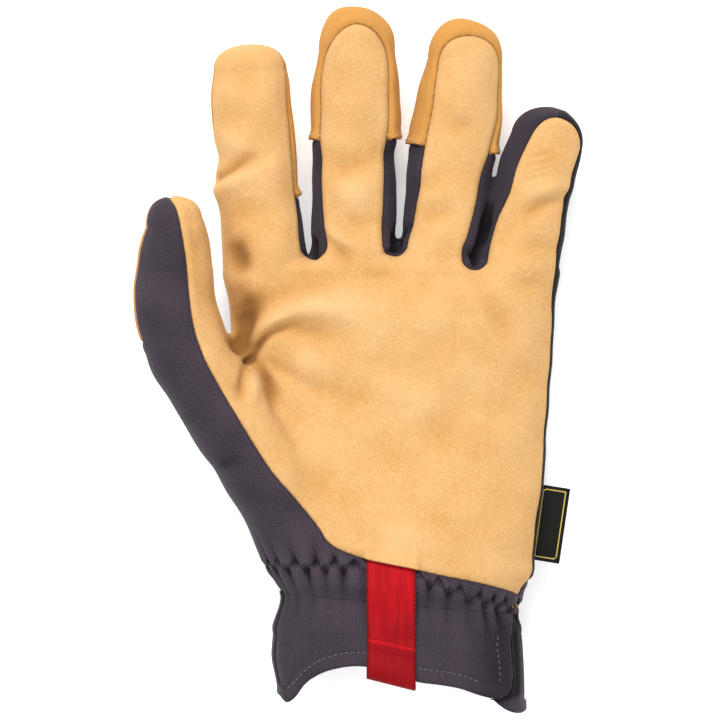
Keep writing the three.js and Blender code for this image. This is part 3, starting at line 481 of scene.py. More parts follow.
def split(p, triangles, g):
    """Cuts triangles where g, a value at each point, changes sign. Points next to a crossing are moved onto
    it first, so that no sliver is left. Returns the points and the triangles on the lower and on the higher
    side."""
    g = g.copy()
    a, b = np.unique(edges_of(triangles), axis=0).T
    crossed = g[a] * g[b] < 0
    a, b = a[crossed], b[crossed]
    share = g[a] / (g[a] - g[b])
    p = p.copy()
    for here, there, t in ((a, b, share), (b, a, 1 - share)):
        close = t < SNAP
        target = p[here[close]] + t[close][:, None] * (p[there[close]] - p[here[close]])
        p[here[close]] = target
        g[here[close]] = 0
    sign = np.sign(g)
    s = sign[triangles]
    lower, higher = s.max(1) <= 0, s.min(1) >= 0
    flat = lower & higher
    mixed = ~(lower | higher)
    keep, drop = triangles[lower], triangles[higher & ~flat]
    mixed, s = triangles[mixed], s[mixed]
    # One corner on the cut: turn it to the front, and cut the opposite edge.
    with_zero = (s == 0).any(1)
    turned = [np.roll(np.arange(3), -k) for k in range(3)]
    order = np.array(turned)[np.argmax(s == 0, 1)]
    lone = np.where((s > 0).sum(1) == 1, np.argmax(s > 0, 1), np.argmax(s < 0, 1))
    order[~with_zero] = np.array(turned)[lone[~with_zero]]
    tri = np.take_along_axis(mixed, order, 1)
    cuts = np.concatenate([tri[with_zero][:, [1, 2]], tri[~with_zero][:, [0, 1]], tri[~with_zero][:, [0, 2]]])
    pairs, where = np.unique(np.sort(cuts, axis=1), axis=0, return_inverse=True)
    where = where.ravel() + len(p)
    ga, gb = g[pairs[:, 0]], g[pairs[:, 1]]
    fresh = p[pairs[:, 0]] + (ga / (ga - gb))[:, None] * (p[pairs[:, 1]] - p[pairs[:, 0]])
    p = np.concatenate([p, fresh])
    n0, n1 = with_zero.sum(), (~with_zero).sum()
    m = where[:n0]
    m1, m2 = where[n0:n0 + n1], where[n0 + n1:]
    z, x, y = tri[with_zero].T
    parts = [(np.stack([z, x, m], 1), sign[x]), (np.stack([z, m, y], 1), sign[y])]
    l, x, y = tri[~with_zero].T
    parts += [(np.stack([l, m1, m2], 1), sign[l]), (np.stack([m1, x, y], 1), sign[x])]
    parts.append((np.stack([m1, y, m2], 1), sign[x]))
    made, side = np.concatenate([q for q, _ in parts]), np.concatenate([q for _, q in parts])
    return p, np.concatenate([keep, made[side < 0]]), np.concatenate([drop, made[side > 0]])


def from_outline(p, outline):
    """Signed distance in plan from a closed outline, negative inside: the way to its nearest edge, and the
    number of edges that a ray to the right crosses."""
    a = outline
    ab = np.roll(outline, -1, 0) - a
    distance = np.empty(len(p))
    for k in range(0, len(p), 4000):
        q = p[k:k + 4000, None, :2]
        gap = q - a
        t = np.clip((gap * ab).sum(-1) / (ab * ab).sum(-1), 0, 1)
        nearest = np.sqrt(((gap - t[..., None] * ab) ** 2).sum(-1).min(1))
        below, above = a[:, 1] > q[..., 1], a[:, 1] + ab[:, 1] > q[..., 1]
        level = np.where(ab[:, 1] == 0, 1, ab[:, 1])
        crossed = (below != above) & (gap[..., 0] < gap[..., 1] / level * ab[:, 0])
        distance[k:k + 4000] = np.where(crossed.sum(1) % 2 == 1, -nearest, nearest)
    return distance


def smooth_loop(points, steps=6):
    """A closed Catmull-Rom curve through points, with `steps` lines from each to the next."""
    t = (np.arange(steps) / steps)[None, :, None]
    before, here, after, then = (np.roll(points, k, 0)[:, None, :] for k in (1, 0, -1, -2))
    curve = 0.5 * (
        2 * here + (after - before) * t + (2 * before - 5 * here + 4 * after - then) * t**2
        + (3 * here - before - 3 * after + then) * t**3
    )
    return curve.reshape(-1, points.shape[1])


def finger_edge(row):
    """The edge of the palm suede on a finger: up its left seam, round its tip and down its right seam."""
    share, wide = np.array(row["suede"]).T
    return on_finger(row, share * row["reach"], wide * row["half"])


def web_end(a, b):
    """The round end of the dark strip between two fingers: half a circle below the crotch."""
    start, end = finger_edge(a)[-1], finger_edge(b)[0]
    half = np.linalg.norm(end - start) / 2
    share = np.array([-0.9, -0.5, 0, 0.5, 0.9])
    drop = half * np.sqrt(1 - share**2) + 0.01 * FINGER_LENGTH
    return (start + end) / 2 + np.stack([share * half, -drop], -1)


index, middle, ring, little = FINGERS.values()
thumb_tip = (thumb_root + THUMB_SPAN)[:2]
suede_low = np.stack([SUEDE_EDGE["across"] * HALF_HAND, WRIST_Y + SUEDE_EDGE["up"] * PALM_LENGTH], -1)
little_at = np.array([0.045, 0.09, 0.14, 0.25, 0.35, 0.5, 0.65, 0.8, 0.93])
little_x = 0.99 * read(HAND, "right", little_at) * HALF_HAND
little_side = np.stack([little_x, WRIST_Y + little_at * PALM_LENGTH], -1)
PAST_TIP = 4
suede_outline = smooth_loop(np.concatenate([
    suede_low, little_side, finger_edge(little)[::-1], web_end(ring, little)[::-1], finger_edge(ring)[::-1],
    web_end(middle, ring)[::-1], finger_edge(middle)[::-1], web_end(index, middle)[::-1],
    finger_edge(index)[::-1], [thumb_tip + [0.5 * THUMB_WIDTH, PAST_TIP]], THUMB_SEAM,
]))
thumb_outline = np.array([
    (-300, -300), (0.9 * HALF_HAND, -300), suede_low[-1] + [0.1 * HALF_HAND, 2], (0, 0),
    (-0.8 * HALF_HAND, 0.3 * PALM_RISE), thumb_tip + [0.45 * THUMB_WIDTH, PAST_TIP], (-300, 300),
])


def above_back(p):
    """Below nought above the seam between the palm's side and the back of the hand."""
    return read(BACK_SEAM, "height", (p[:, 1] - PALM_RISE) / PALM_LENGTH) * HAND_DEPTH - p[:, 2]


def in_palm(p):
    """Below nought inside the outline of the palm suede and above the back seam."""
    return np.maximum(from_outline(p, suede_outline), above_back(p))


def cover_start(p, row):
    """How far points lie past the cut edge of a finger's tip cover."""
    return finger_place(row, p)[0] - (1 - row["cover"]) * row["reach"]


def in_cover(p, number):
    """Below nought on the end of a finger past the lower edge of its tip cover."""
    fields = finger_fields(p)
    others = [field for k, field in enumerate(fields) if k != number]
    others = np.min([*others, near(p, *THUMB_BOX, thumb_field)], axis=0)
    return np.maximum(-cover_start(p, list(FINGERS.values())[number]), fields[number] - others)


def in_guard(p):
    """Below nought on the nail side of the thumb, between two rays from the middle of each section."""
    at, v, w = thumb_place(p)
    left, _, deep = thumb_half(at)
    wide, high = v / left, w / deep
    upper, lower = unit(GUARD_RAYS)
    past_upper = upper[0] * high - upper[1] * wide
    past_lower = lower[0] * high - lower[1] * wide
    side = np.maximum(-past_upper, past_lower) * THUMB_WIDTH / 2
    return np.maximum(side, (GUARD_START - at) * THUMB_SPAN[1])


def in_strip(p, a, b, past):
    """Below nought in the strip from the middle of one finger to a line on the next, above the back seam."""
    outline = np.array([
        on_finger(a, -0.14 * a["reach"], 0), on_finger(b, -0.14 * b["reach"], past * b["half"]),
        on_finger(b, 1.1 * b["reach"], past * b["half"]), on_finger(a, 1.1 * a["reach"], 0),
    ])
    return np.maximum(from_outline(p, outline), above_back(p))


def above_gathers(p):
    """How far points lie above the slanting line along which the wrist is gathered."""
    return p[:, 1] - (WRIST_Y - WRIST_SLOPE * (p[:, 0] - CUFF_X))


def past_elastic(p):
    """How far points lie above the line of the elastic's stitches, which runs close below the palm suede."""
    return p[:, 1] - read(ELASTIC, "up", p[:, 0])


def past_vent(p):
    """Below nought on the palm's half of the cuff, up to the vent beside the little finger's side."""
    at = (WRIST_Y - p[:, 1]) / CUFF_LENGTH
    return np.maximum(p[:, 0] - CUFF_X - read(VENT, "palm", at) * CUFF_WIDTH / 2, WRIST_Z - p[:, 2])


def hem_line(x, side):
    """Where along Y the hem of the palm's or the back's half ends."""
    return WRIST_Y - CUFF_LENGTH * (1 - read(HEM, side, (x - CUFF_X) / (CUFF_WIDTH / 2)))


def below_hem(p, side):
    """Below nought past the edge of the hem."""
    return p[:, 1] - hem_line(p[:, 0], side)


BLOCK = 4  # grid points in a side of the blocks that are looked at first
NEAR_SKIN = 1.6  # how many block sides from the skin a block may lie and still be worked out


def field_on_grid(low, blocks):
    """The skin's field on a grid of blocks: worked out at the middle of each block, and at each grid point
    of a block only where the skin is near."""
    middles = [np.arange(n) * BLOCK + (BLOCK - 1) / 2 for n in blocks]
    middles = np.stack(np.meshgrid(*middles, indexing="ij"), -1).reshape(-1, 3)
    rough = skin(low + NET_STEP * middles).reshape(blocks)
    values = rough.repeat(BLOCK, 0).repeat(BLOCK, 1).repeat(BLOCK, 2)
    close = np.argwhere(np.abs(values) < NEAR_SKIN * BLOCK * NET_STEP)
    for part in np.array_split(close, 8):
        values[tuple(part.T)] = skin(low + NET_STEP * part)
    return values


# The net over the whole skin, evened out.
low, high = np.array([-90.0, -108.0, -1.5]), np.array([71.0, 140.0, 51.0])
blocks = np.ceil((high - low) / NET_STEP / BLOCK).astype(int)
points, quads = net(field_on_grid(low, blocks), low, NET_STEP)
points = settle(smooth_out(settle(points, 1), quads, 2), 2)
triangles = np.concatenate([quads[:, [0, 1, 2]], quads[:, [0, 2, 3]]])

# The panels, cut in turn out of what the last one has left.
panels = {}


def cut_out(name, inside, triangles):
    """Takes the triangles where `inside` is below nought as a panel, and gives back the rest."""
    global points
    values = np.full(len(points), FAR)
    used = np.unique(triangles)
    values[used] = inside(points[used])
    points, panel, rest = split(points, triangles, values)
    if name:
        panels[name] = panel
    return panel, rest


hand_part, cuff_part = cut_out("", lambda p: -above_gathers(p), triangles)
_, rest = cut_out("palm_panel", in_palm, hand_part)
for number, name in enumerate(("index", "middle", "ring")):
    _, rest = cut_out(f"{name}_tip_cover", lambda p: in_cover(p, number), rest)
_, rest = cut_out("thumb_guard", in_guard, rest)
for a, b, past in (("index", "middle", 0.0), ("middle", "ring", 0.0), ("ring", "little", 0.15)):
    _, rest = cut_out(f"side_strip_{a}_{b}", lambda p: in_strip(p, FINGERS[a], FINGERS[b], past), rest)
_, rest = cut_out("thumb_panel", lambda p: np.maximum(from_outline(p, thumb_outline), above_back(p)), rest)
panels["back_panel"] = rest
front, rear = cut_out("", past_vent, cuff_part)
cut_out("cuff_palm", lambda p: -below_hem(p, "palm"), front)
cut_out("cuff_back", lambda p: -below_hem(p, "back"), rear)


# Relief of the cloth: creases, dents and ridges.


def curve(points, steps=5):
    """A Catmull-Rom curve through points, with `steps` lines from each to the next."""
    points = np.asarray(points, float)
    ends = [2 * points[0] - points[1]], [2 * points[-1] - points[-2]]
    loop = smooth_loop(np.concatenate([ends[0], points, ends[1]]), steps)
    return loop[steps:-2 * steps + 1]


def along_lines(p, line):
    """How far points lie in plan from a line of points, and how far along it, as a share."""
    start = way_along(line)
    lengths = np.diff(start)
    best, share = np.full(len(p), 1e9), np.zeros(len(p))
    for k, (a, b) in enumerate(zip(line[:-1], line[1:])):
        t = np.clip(((p[:, :2] - a) @ (b - a)) / lengths[k] ** 2, 0, 1)
        gap = np.linalg.norm(p[:, :2] - a - t[:, None] * (b - a), axis=1)
        closer = gap < best
        best[closer] = gap[closer]
        share[closer] = (start[k] + t[closer] * lengths[k]) / start[-1]
    return best, share


def ramp(x, low, high):
    """From 0 at low to 1 at high, eased at both ends."""
    t = np.clip((x - low) / (high - low), 0, 1)
    return t * t * (3 - 2 * t)


# Folds and hollows of the palm's side: how high they stand (negative for a crease), how wide they are at
# their first and last point, how much they fade there (1 fades fully), and their line in plan.
FOLDS = [
    (-2.6, 1.2, 2.2, 0.5, 1, [
        (-46.9, 18.0), (-45.2, 21.4), (-42.9, 24.4), (-38.8, 27.1), (-33.1, 29.1), (-27.0, 29.8),
    ]),
    (-1.5, 3.4, 6.5, 0.7, 1, [(-41.8, 24.7), (-33.8, 28.1), (-26.4, 27.8), (-18.6, 25.1), (-9.5, 21.0)]),
    (-0.9, 5, 6, 0.9, 0.9, [(-43.2, 19.0), (-37.1, 17.7), (-29.7, 15.0)]),
    (2, 2.6, 8, 0.4, 1, [
        (-49.6, 20.0), (-47.2, 24.1), (-43.2, 27.8), (-37.1, 31.1), (-28.7, 33.8), (-18.6, 34.5),
        (-6.8, 33.2), (4.9, 28.8), (16.7, 23.4),
    ]),
    (-1.4, 5, 6, 0.3, 0.8, [
        (-48.6, 38.5), (-39.1, 38.2), (-27.0, 42.6), (-14.9, 44.9), (0.9, 46.3), (16.7, 46.6),
    ]),
    (-2.6, 1.1, 2.4, 0.5, 1, [
        (-47.2, 17.7), (-44.5, 15.0), (-42.2, 11.6), (-40.5, 7.9), (-38.5, 2.2), (-37.5, -5.9),
    ]),
    (-2, 1.5, 2.6, 0.5, 1, [(-47.6, 17.3), (-48.6, 12.0), (-49.6, 6.2), (-50.3, 1.2)]),
    (1.3, 2, 3, 0.6, 1, [(-46.6, 15.7), (-45.5, 8.6), (-44.5, 1.2)]),
    (-1.1, 1.5, 5, 0.5, 1, [(-46.6, 17.7), (-38.8, 15.0), (-27.0, 7.6), (-11.2, 2.5), (-0.8, -0.8)]),
    (0.9, 6, 7, 1, 1, [(-39.8, 20.4), (-27.0, 15.7), (-13.6, 10.3)]),
    (-3.2, 5.6, 5, 0.5, 0.6, [(-56.0, 58.7), (-52.9, 54.0), (-50.6, 49.3), (-48.6, 43.9)]),
    (-2.6, 7.5, 5, 0.6, 0.3, [(-51.3, 39.2), (-49.6, 35.8), (-48.6, 31.8), (-48.6, 27.1), (-48.2, 23.1)]),
    (-2.6, 5, 3.4, 0.8, 0.3, [(-52.6, 33.8), (-51.3, 29.8), (-50.3, 25.8), (-49.2, 22.0)]),
    (1.3, 3.5, 4.5, 0.7, 1, [(-54.0, 42.9), (-47.2, 42.6), (-39.8, 40.9)]),
    (-1.4, 1.8, 1.6, 0.2, 0.6, [(-52.3, 24.4), (-50.3, 21.7), (-47.6, 18.3)]),
    (-2, 1.7, 2.3, 0, 1, [
        (-59.3, 78.3), (-55.3, 80.6), (-51.3, 83.3), (-47.2, 85.0), (-43.2, 85.5), (-37.8, 85.0),
    ]),
    (1.3, 3, 3.4, 0.2, 1, [(-59.3, 74.2), (-54.0, 76.9), (-47.2, 79.6), (-39.8, 80.6)]),
    (0.8, 4, 4, 0.2, 1, [(-58.7, 88.7), (-52.3, 89.7), (-44.5, 89.4)]),
    (-0.8, 4, 4, 0.2, 1, [(-59.3, 98.5), (-53.3, 99.1), (-44.5, 97.1)]),
    (-0.8, 4, 4, 0.3, 0.8, [(-57.3, 65.5), (-47.2, 67.5), (-35.4, 68.5)]),
    (-1.2, 4, 4.4, 0.6, 0.3, [(-23.0, 85.0), (-16.9, 82.6), (-10.2, 83.3), (-2.1, 87.0)]),
    (1, 4.6, 4.6, 0.8, 0.8, [(-21.0, 72.2), (-11.9, 74.2), (-2.8, 76.2)]),
    (1.1, 1.5, 3, 0.8, 1, [(-22.3, 62.1), (-15.2, 56.4), (-6.2, 51.7)]),
    (-1.1, 2, 3, 0.8, 1, [(-23.0, 58.7), (-16.9, 53.7), (-8.9, 49.7)]),
    (-0.8, 2.6, 2.6, 1, 0.6, [(-16.9, 65.8), (-10.9, 62.8), (-3.5, 63.5)]),
    (-0.9, 3.4, 3.4, 0.8, 1, [(7.3, 74.2), (14.0, 77.6), (22.8, 83.0)]),
    (0.8, 3, 3.4, 0.6, 1, [(6.6, 69.2), (13.4, 72.2), (21.8, 76.9)]),
    (-0.9, 3, 3, 0.8, 1, [(9.3, 63.5), (16.7, 65.8), (25.1, 68.8)]),
    (-0.7, 3, 3, 0.8, 1, [(29.5, 95.1), (24.1, 95.8), (16.7, 93.7)]),
    (-1.6, 2.4, 3, 0.4, 0.8, [(59.1, 72.2), (53.8, 70.2), (47.0, 66.8), (39.6, 62.1)]),
    (1, 3, 3.4, 0.5, 1, [(59.8, 75.6), (52.1, 74.2), (43.0, 70.9)]),
    (-0.8, 3, 3.4, 0.3, 1, [(55.8, 55.4), (47.0, 55.0), (36.9, 53.4)]),
    (-0.8, 3.4, 4, 0.5, 1, [(52.1, 43.3), (43.7, 41.9), (36.3, 40.6)]),
    (-0.55, 0.9, 0.9, 0.8, 1, [(43.7, 81.6), (49.7, 83.3), (57.8, 84.3)]),
    (-0.5, 0.8, 0.8, 0.8, 1, [(45.0, 79.6), (51.1, 81.3), (57.1, 82.0)]),
    (-0.5, 0.8, 0.8, 0.8, 1, [(43.7, 77.3), (49.7, 78.9), (57.8, 79.6)]),
    (-0.45, 0.8, 0.8, 0.8, 1, [(46.3, 85.3), (52.1, 86.7), (57.8, 87.0)]),
    (0.9, 2.4, 5, 0.6, 1, [
        (24.5, 48.0), (26.5, 44.3), (29.5, 37.9), (32.9, 30.1), (36.9, 21.7), (41.6, 11.6),
    ]),
    (-1.1, 2.6, 6, 0.6, 1, [(28.2, 45.9), (32.2, 38.2), (36.6, 29.8), (41.6, 20.4), (45.0, 13.0)]),
    (-0.9, 7, 7, 1, 1, [(6.6, -2.5), (16.7, -9.3), (28.2, -16.0)]),
    (0.8, 9, 9, 1, 1, [(-10.2, 3.5), (10.0, 6.2), (30.2, 2.2)]),
    (-0.8, 6, 6, 1, 1, [(-30.4, -20.0), (-16.9, -30.1), (-0.1, -34.2)]),
    (-0.8, 6, 6, 0.6, 0.4, [(16.7, -43.6), (33.6, -36.9), (46.3, -30.1)]),
    (0.7, 6, 6, 1, 1, [(-13.6, -42.2), (3.3, -43.6), (20.1, -46.3)]),
    (-1.2, 4, 6, 0.2, 1, [(-67.4, 65.8), (-64.1, 54.0), (-63.0, 40.6), (-61.4, 27.1)]),
    (-0.9, 3, 4, 1, 1, [(-55.6, 13.0), (-51.9, 6.2), (-47.2, -6.6)]),
    (-2.6, 1.4, 1.2, 0.2, 0.2, [(-26.4, 57.4), (-26.0, 55.0), (-25.7, 52.7)]),
    (-3, 1.5, 1.4, 0.2, 0.2, [(2.9, 61.4), (2.3, 58.4), (2.3, 54.7)]),
    (-1.2, 1, 1, 0.2, 0.5, [(2.6, 57.4), (4.6, 60.4), (6.3, 62.8)]),
    (-1.2, 1, 1, 0.2, 0.5, [(2.3, 55.4), (-0.1, 54.0), (-2.1, 53.4)]),
    (-2.8, 1.6, 1.3, 0.5, 0.2, [(33.9, 69.2), (31.5, 59.1), (29.5, 54.0), (28.8, 50.0)]),
    (-1.2, 0.9, 0.9, 0.2, 0.4, [(29.2, 51.3), (27.2, 52.7), (26.2, 54.4)]),
    (-0.3, 3, 4, 0.8, 0.8, [(-84.3, 37.2), (-77.5, 27.1), (-68.8, 19.7)]),
    (-0.7, 2.2, 2.6, 0.6, 0.8, [(-60.7, -20.0), (-52.3, -17.3), (-43.2, -20.0)]),
]
RIPPLES = [  # height, how fast it turns across and along, and where it starts
    (0.2, 0.21, 0.13, 0.4), (0.16, -0.12, 0.24, 1.9), (0.12, 0.37, -0.22, 3.1), (0.12, 0.17, 0.41, 5.0),
]
PUCKERS = 32  # folds that the elastic pulls up round the wrist
PUCKER_HEIGHT, PUCKER_MEAN = 2.5, 0.62


def fold_relief(p, up):
    """Sum of the folds: each a bell across its line, faded towards its ends and gone where the skin turns
    away from the palm's side, and of a few long ripples."""
    facing = ramp(up, -0.4, 0.35)
    total = sum(a * np.sin(kx * p[:, 0] + ky * p[:, 1] + turn) for a, kx, ky, turn in RIPPLES)
    for height, start, end, fade_start, fade_end, line in FOLDS:
        line = curve(line)
        reach = 2.6 * max(start, end)
        about = np.all((p[:, :2] > line.min(0) - reach) & (p[:, :2] < line.max(0) + reach), axis=1)
        gap, share = along_lines(p[about], line)
        kept = (1 - fade_start * (1 - ramp(share, 0, 0.35))) * (1 - fade_end * ramp(share, 0.45, 1))
        width = start + (end - start) * share
        total[about] += height * kept * np.exp(-((gap / width) ** 2)) * facing[about]
    return total


HEM_OF_SUEDE = dict(at=suede_low[:, 0], up=suede_low[:, 1])  # the lower edge of the palm suede


def wrist_angle(p):
    """The angle of points round the middle line of the wrist, in radians, let run a little unevenly."""
    _, wide, high, middle = cuff_place(p)
    angle = np.arctan2((p[:, 2] - middle) / high, (p[:, 0] - CUFF_X) / wide)
    return angle + 0.05 * np.sin(5 * angle + 1.0) + 0.03 * np.sin(9 * angle)


def pucker_relief(p):
    """Folds that fan out from the elastic, half a pitch apart above and below it; and the soft shape round
    them: two long waves of different pitch down the cuff, and a waist at the elastic."""
    past, angle = past_elastic(p), wrist_angle(p)
    above, below = (np.abs(turn(PUCKERS / 2 * angle)) ** 0.8 - PUCKER_MEAN for turn in (np.cos, np.sin))
    uneven = 0.85 + 0.25 * np.sin(3 * angle + 2.0) + 0.15 * np.sin(11 * angle)
    folds = above * ramp(past, -1.6, 1.6) * np.exp(-np.maximum(past - 1.5, 0) / 4.2)
    folds = folds + below * ramp(-past, -1.6, 1.6) * np.exp(-np.maximum(-past - 2.5, 0) / 5.5)
    below_suede = ramp(read(HEM_OF_SUEDE, "up", p[:, 0]) - p[:, 1], 0, 3.5)
    under_tab = ramp(TAB_WIDTH / 2 + 2.5 - np.abs(p[:, 0] - TAB_X), 0, 3)
    folds = folds * np.where(p[:, 2] > WRIST_Z, below_suede * (1 - 0.8 * under_tab), 1)
    past = above_gathers(p)
    wave = ramp(-past, 1, 12) * (0.6 * np.sin(8 * angle + 0.7) + 0.4 * np.sin(13 * angle + 2.4))
    flare = 1.6 * ramp(-past, 4, 14) - 2.4 * ramp(-past, 20, 33)
    waist = -1.9 * np.exp(-((past / 4.2) ** 2)) + flare * ramp(-np.cos(angle), 0.2, 0.9)
    return PUCKER_HEIGHT * folds * uneven, 0.6 * wave + waist


normals = unit(steepest(points))
folds = fold_relief(points, normals[:, 2]) * ramp(points[:, 1], -62, -50)
puckers, waist = pucker_relief(points)
relief = (folds + puckers + waist) * ramp(points[:, 2], 0.3, 5)


def rim_of(triangles):
    """The points on the open edges of a panel."""
    edges, count = np.unique(edges_of(triangles), axis=0, return_counts=True)
    return np.unique(edges[count == 1])


def distance_to(p, rim):
    """How far each point is from the nearest of the rim's points, up to RIM_REACH."""
    nearest = np.full(len(p), RIM_REACH)
    if len(rim):
        rim = rim[np.argsort(rim[:, 1])]
        for rows in np.array_split(np.argsort(p[:, 1]), max(len(p) // 1500, 1)):
            low, high = p[rows, 1].min() - RIM_REACH, p[rows, 1].max() + RIM_REACH
            part = rim[np.searchsorted(rim[:, 1], low):np.searchsorted(rim[:, 1], high)]
            if len(part):
                gap = ((p[rows, None] - part[None]) ** 2).sum(-1).min(1)
                nearest[rows] = np.minimum(np.sqrt(gap), RIM_REACH)
    return nearest


def seam_roll(gap):
    """A seam pulls the cloth in: a narrow groove at the seam and a low roll beside it."""
    return -0.4 * np.exp(-((gap / 0.6) ** 2)) + 0.25 * np.exp(-(((gap - 2.2) / 1.3) ** 2))


OVER_TAB_Y, OVER_TAB_Z = -44.0, 25.0  # past this, and above this, the edge of the suede may lie over the tab


def over_tab(p, gap):
    """Where the edge of the suede passes over the pull tab: 1 there, 0 elsewhere."""
    beside = ramp(TAB_WIDTH / 2 + 2.2 - np.abs(p[:, 0] - TAB_X), 0, 1.8)
    return beside * (p[:, 1] < OVER_TAB_Y) * (p[:, 2] > OVER_TAB_Z) * (1 - ramp(gap, 1.5, 6.5))


def panel_relief(name, p, rim):
    """How far a panel's points stand out from the shared skin, and how far they are from its rim."""
    rim = rim[np.abs(above_gathers(rim)) > 0.3]
    gap = distance_to(p, rim)
    if name.endswith("tip_cover"):
        row = FINGERS[name.split("_")[0]]
        cut = rim[np.abs(cover_start(rim, row)) < ON_LINE]
        sewn = rim[np.abs(cover_start(rim, row)) >= ON_LINE]
        past, side = distance_to(p, cut), distance_to(p, sewn)
        rise = COVER_RAISE * ramp(side, 0, 1.5) + 1.0 * (1 - ramp(past, 0, 4.0)) * ramp(side, 0.2, 1.4)
        return rise + seam_roll(side), gap
    if name.startswith("cuff"):
        hem = rim[below_hem(rim, name.split("_")[1]) > -ON_LINE]
        vent = rim[np.abs(past_vent(rim)) < ON_LINE]
        vent = vent[(vent[:, 2] > WRIST_Z + 0.6) & (WRIST_Y - vent[:, 1] > VENT_TOP * CUFF_LENGTH)]
        edge = distance_to(p, np.concatenate([hem, vent]))
        rise = HEM_RAISE * (1 - ramp(edge, HEM_WIDTH - 0.7, HEM_WIDTH + 0.3))
        rise = rise - 0.7 * (1 - ramp(edge, 0, 1.1)) ** 2 - 0.3 * np.exp(-(((edge - HEM_WIDTH) / 0.6) ** 2))
        from_vent = distance_to(p, vent)
        if name == "cuff_palm":
            return rise + 1.8 * (1 - ramp(from_vent, 0, 7)), edge
        return rise - 2.2 * (1 - ramp(from_vent, 0, 8)), edge
    if name == "palm_panel":
        over = over_tab(p, gap)
        return seam_roll(gap) * (1 - over) + 1.9 * over, gap
    return seam_roll(gap), gap


def cloth_axes(name, p):
    """How far points lie round and along the piece, for its weave: round a finger, the thumb or the wrist
    by the angle about its middle line, and on the back by plan and height."""
    if name.startswith("side_strip"):
        s, v, w = finger_place(FINGERS[name.split("_")[-1]], p)
        return FINGER_RADIUS * np.arctan2(w, v), s
    if name == "thumb_panel":
        at, v, w = thumb_place(p)
        above = past_elastic(p) > 0
        around = np.where(above, THUMB_RADIUS * np.arctan2(w, v), WRIST_RADIUS * wrist_angle(p))
        return around, np.where(above, at * thumb_pace.mean(), p[:, 1])
    if name.startswith("cuff"):
        return WRIST_RADIUS * wrist_angle(p), p[:, 1]
    return p[:, 0] + p[:, 2] * np.where(p[:, 0] < 0, -1, 1), p[:, 1]


def lay_mesh(name, p, faces, **columns):
    """A mesh object of points in millimetres, with a value or three a point in each named attribute."""
    mesh = bpy.data.meshes.new(name)
    mesh.from_pydata(p * MM, [], faces)
    for label, values in columns.items():
        kind, field = ("FLOAT", "value") if np.ndim(values) == 1 else ("FLOAT_VECTOR", "vector")
        attribute = mesh.attributes.new(label, kind, "POINT")
        attribute.data.foreach_set(field, np.ascontiguousarray(values, np.float32).ravel())
    mesh.polygons.foreach_set("use_smooth", np.ones(len(mesh.polygons), bool))
    piece = bpy.data.objects.new(name, mesh)
    bpy.context.scene.collection.objects.link(piece)
    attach(piece, "root")
    return piece


def thicken(piece, thickness, offset=-1.0):
    """Gives a sheet its thickness, inward unless told otherwise."""
    wall = piece.modifiers.new("wall", "SOLIDIFY")
    wall.thickness = thickness * MM
    wall.offset = offset
    return piece


cloth, laid = {}, {}
for name, faces in panels.items():
    used, faces = np.unique(faces, return_inverse=True)
    faces = faces.reshape(-1, 3)
    p, n = points[used], normals[used]
    rise, edge = panel_relief(name, p, p[rim_of(faces)])
    around, along = cloth_axes(name, p)
    rise = rise * ramp(p[:, 2], 0.05, 2.5)
    made = p + n * (relief[used] + rise)[:, None]
    made[:, 2] = np.maximum(made[:, 2], 0)
    # This value only colours the cloth: painted shade in its creases and pucker valleys and a painted
    # highlight on its ridges, with the puckers weighed more.
    fold_shade = folds[used] + 1.3 * puckers[used]
    # Painted shade on the cuff's flaps beside the vent, where they lie in shadow.
    if name == "cuff_back":
        fold_shade = fold_shade - 3 * (1 - ramp(past_vent(p), 0, 10)) * (p[:, 2] > WRIST_Z)
    if name == "cuff_palm":
        fold_shade = fold_shade - 1.1 * (1 - ramp(-past_vent(p), 3, 20))
    columns = dict(cloth=np.stack([around, along, edge], -1), fold_shade=fold_shade)
    piece = thicken(lay_mesh(f"{name}_cloth", made, faces, **columns), WALL)
    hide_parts(name)
    cloth[name], laid[name] = piece, (made, n)


# Finishes. Lengths in them are in millimetres.


def _math(kind, swap=False):
    """An operator of Value that adds a Math node."""
    def apply(self, other):
        return self.finish.math(kind, other, self) if swap else self.finish.math(kind, self, other)
    return apply


class Value:
    """A shader socket that takes part in sums."""

    def __init__(self, finish, socket):
        self.finish, self.socket = finish, socket

    __add__, __radd__ = _math("ADD"), _math("ADD", True)
    __sub__, __rsub__ = _math("SUBTRACT"), _math("SUBTRACT", True)
    __mul__, __rmul__ = _math("MULTIPLY"), _math("MULTIPLY", True)

    def ramp(self, low, high):
        """From 0 at low to 1 at high, eased at both ends."""
        inputs = {"Value": self, "From Min": low, "From Max": high}
        return self.finish.node("ShaderNodeMapRange", {"interpolation_type": "SMOOTHSTEP"}, inputs)


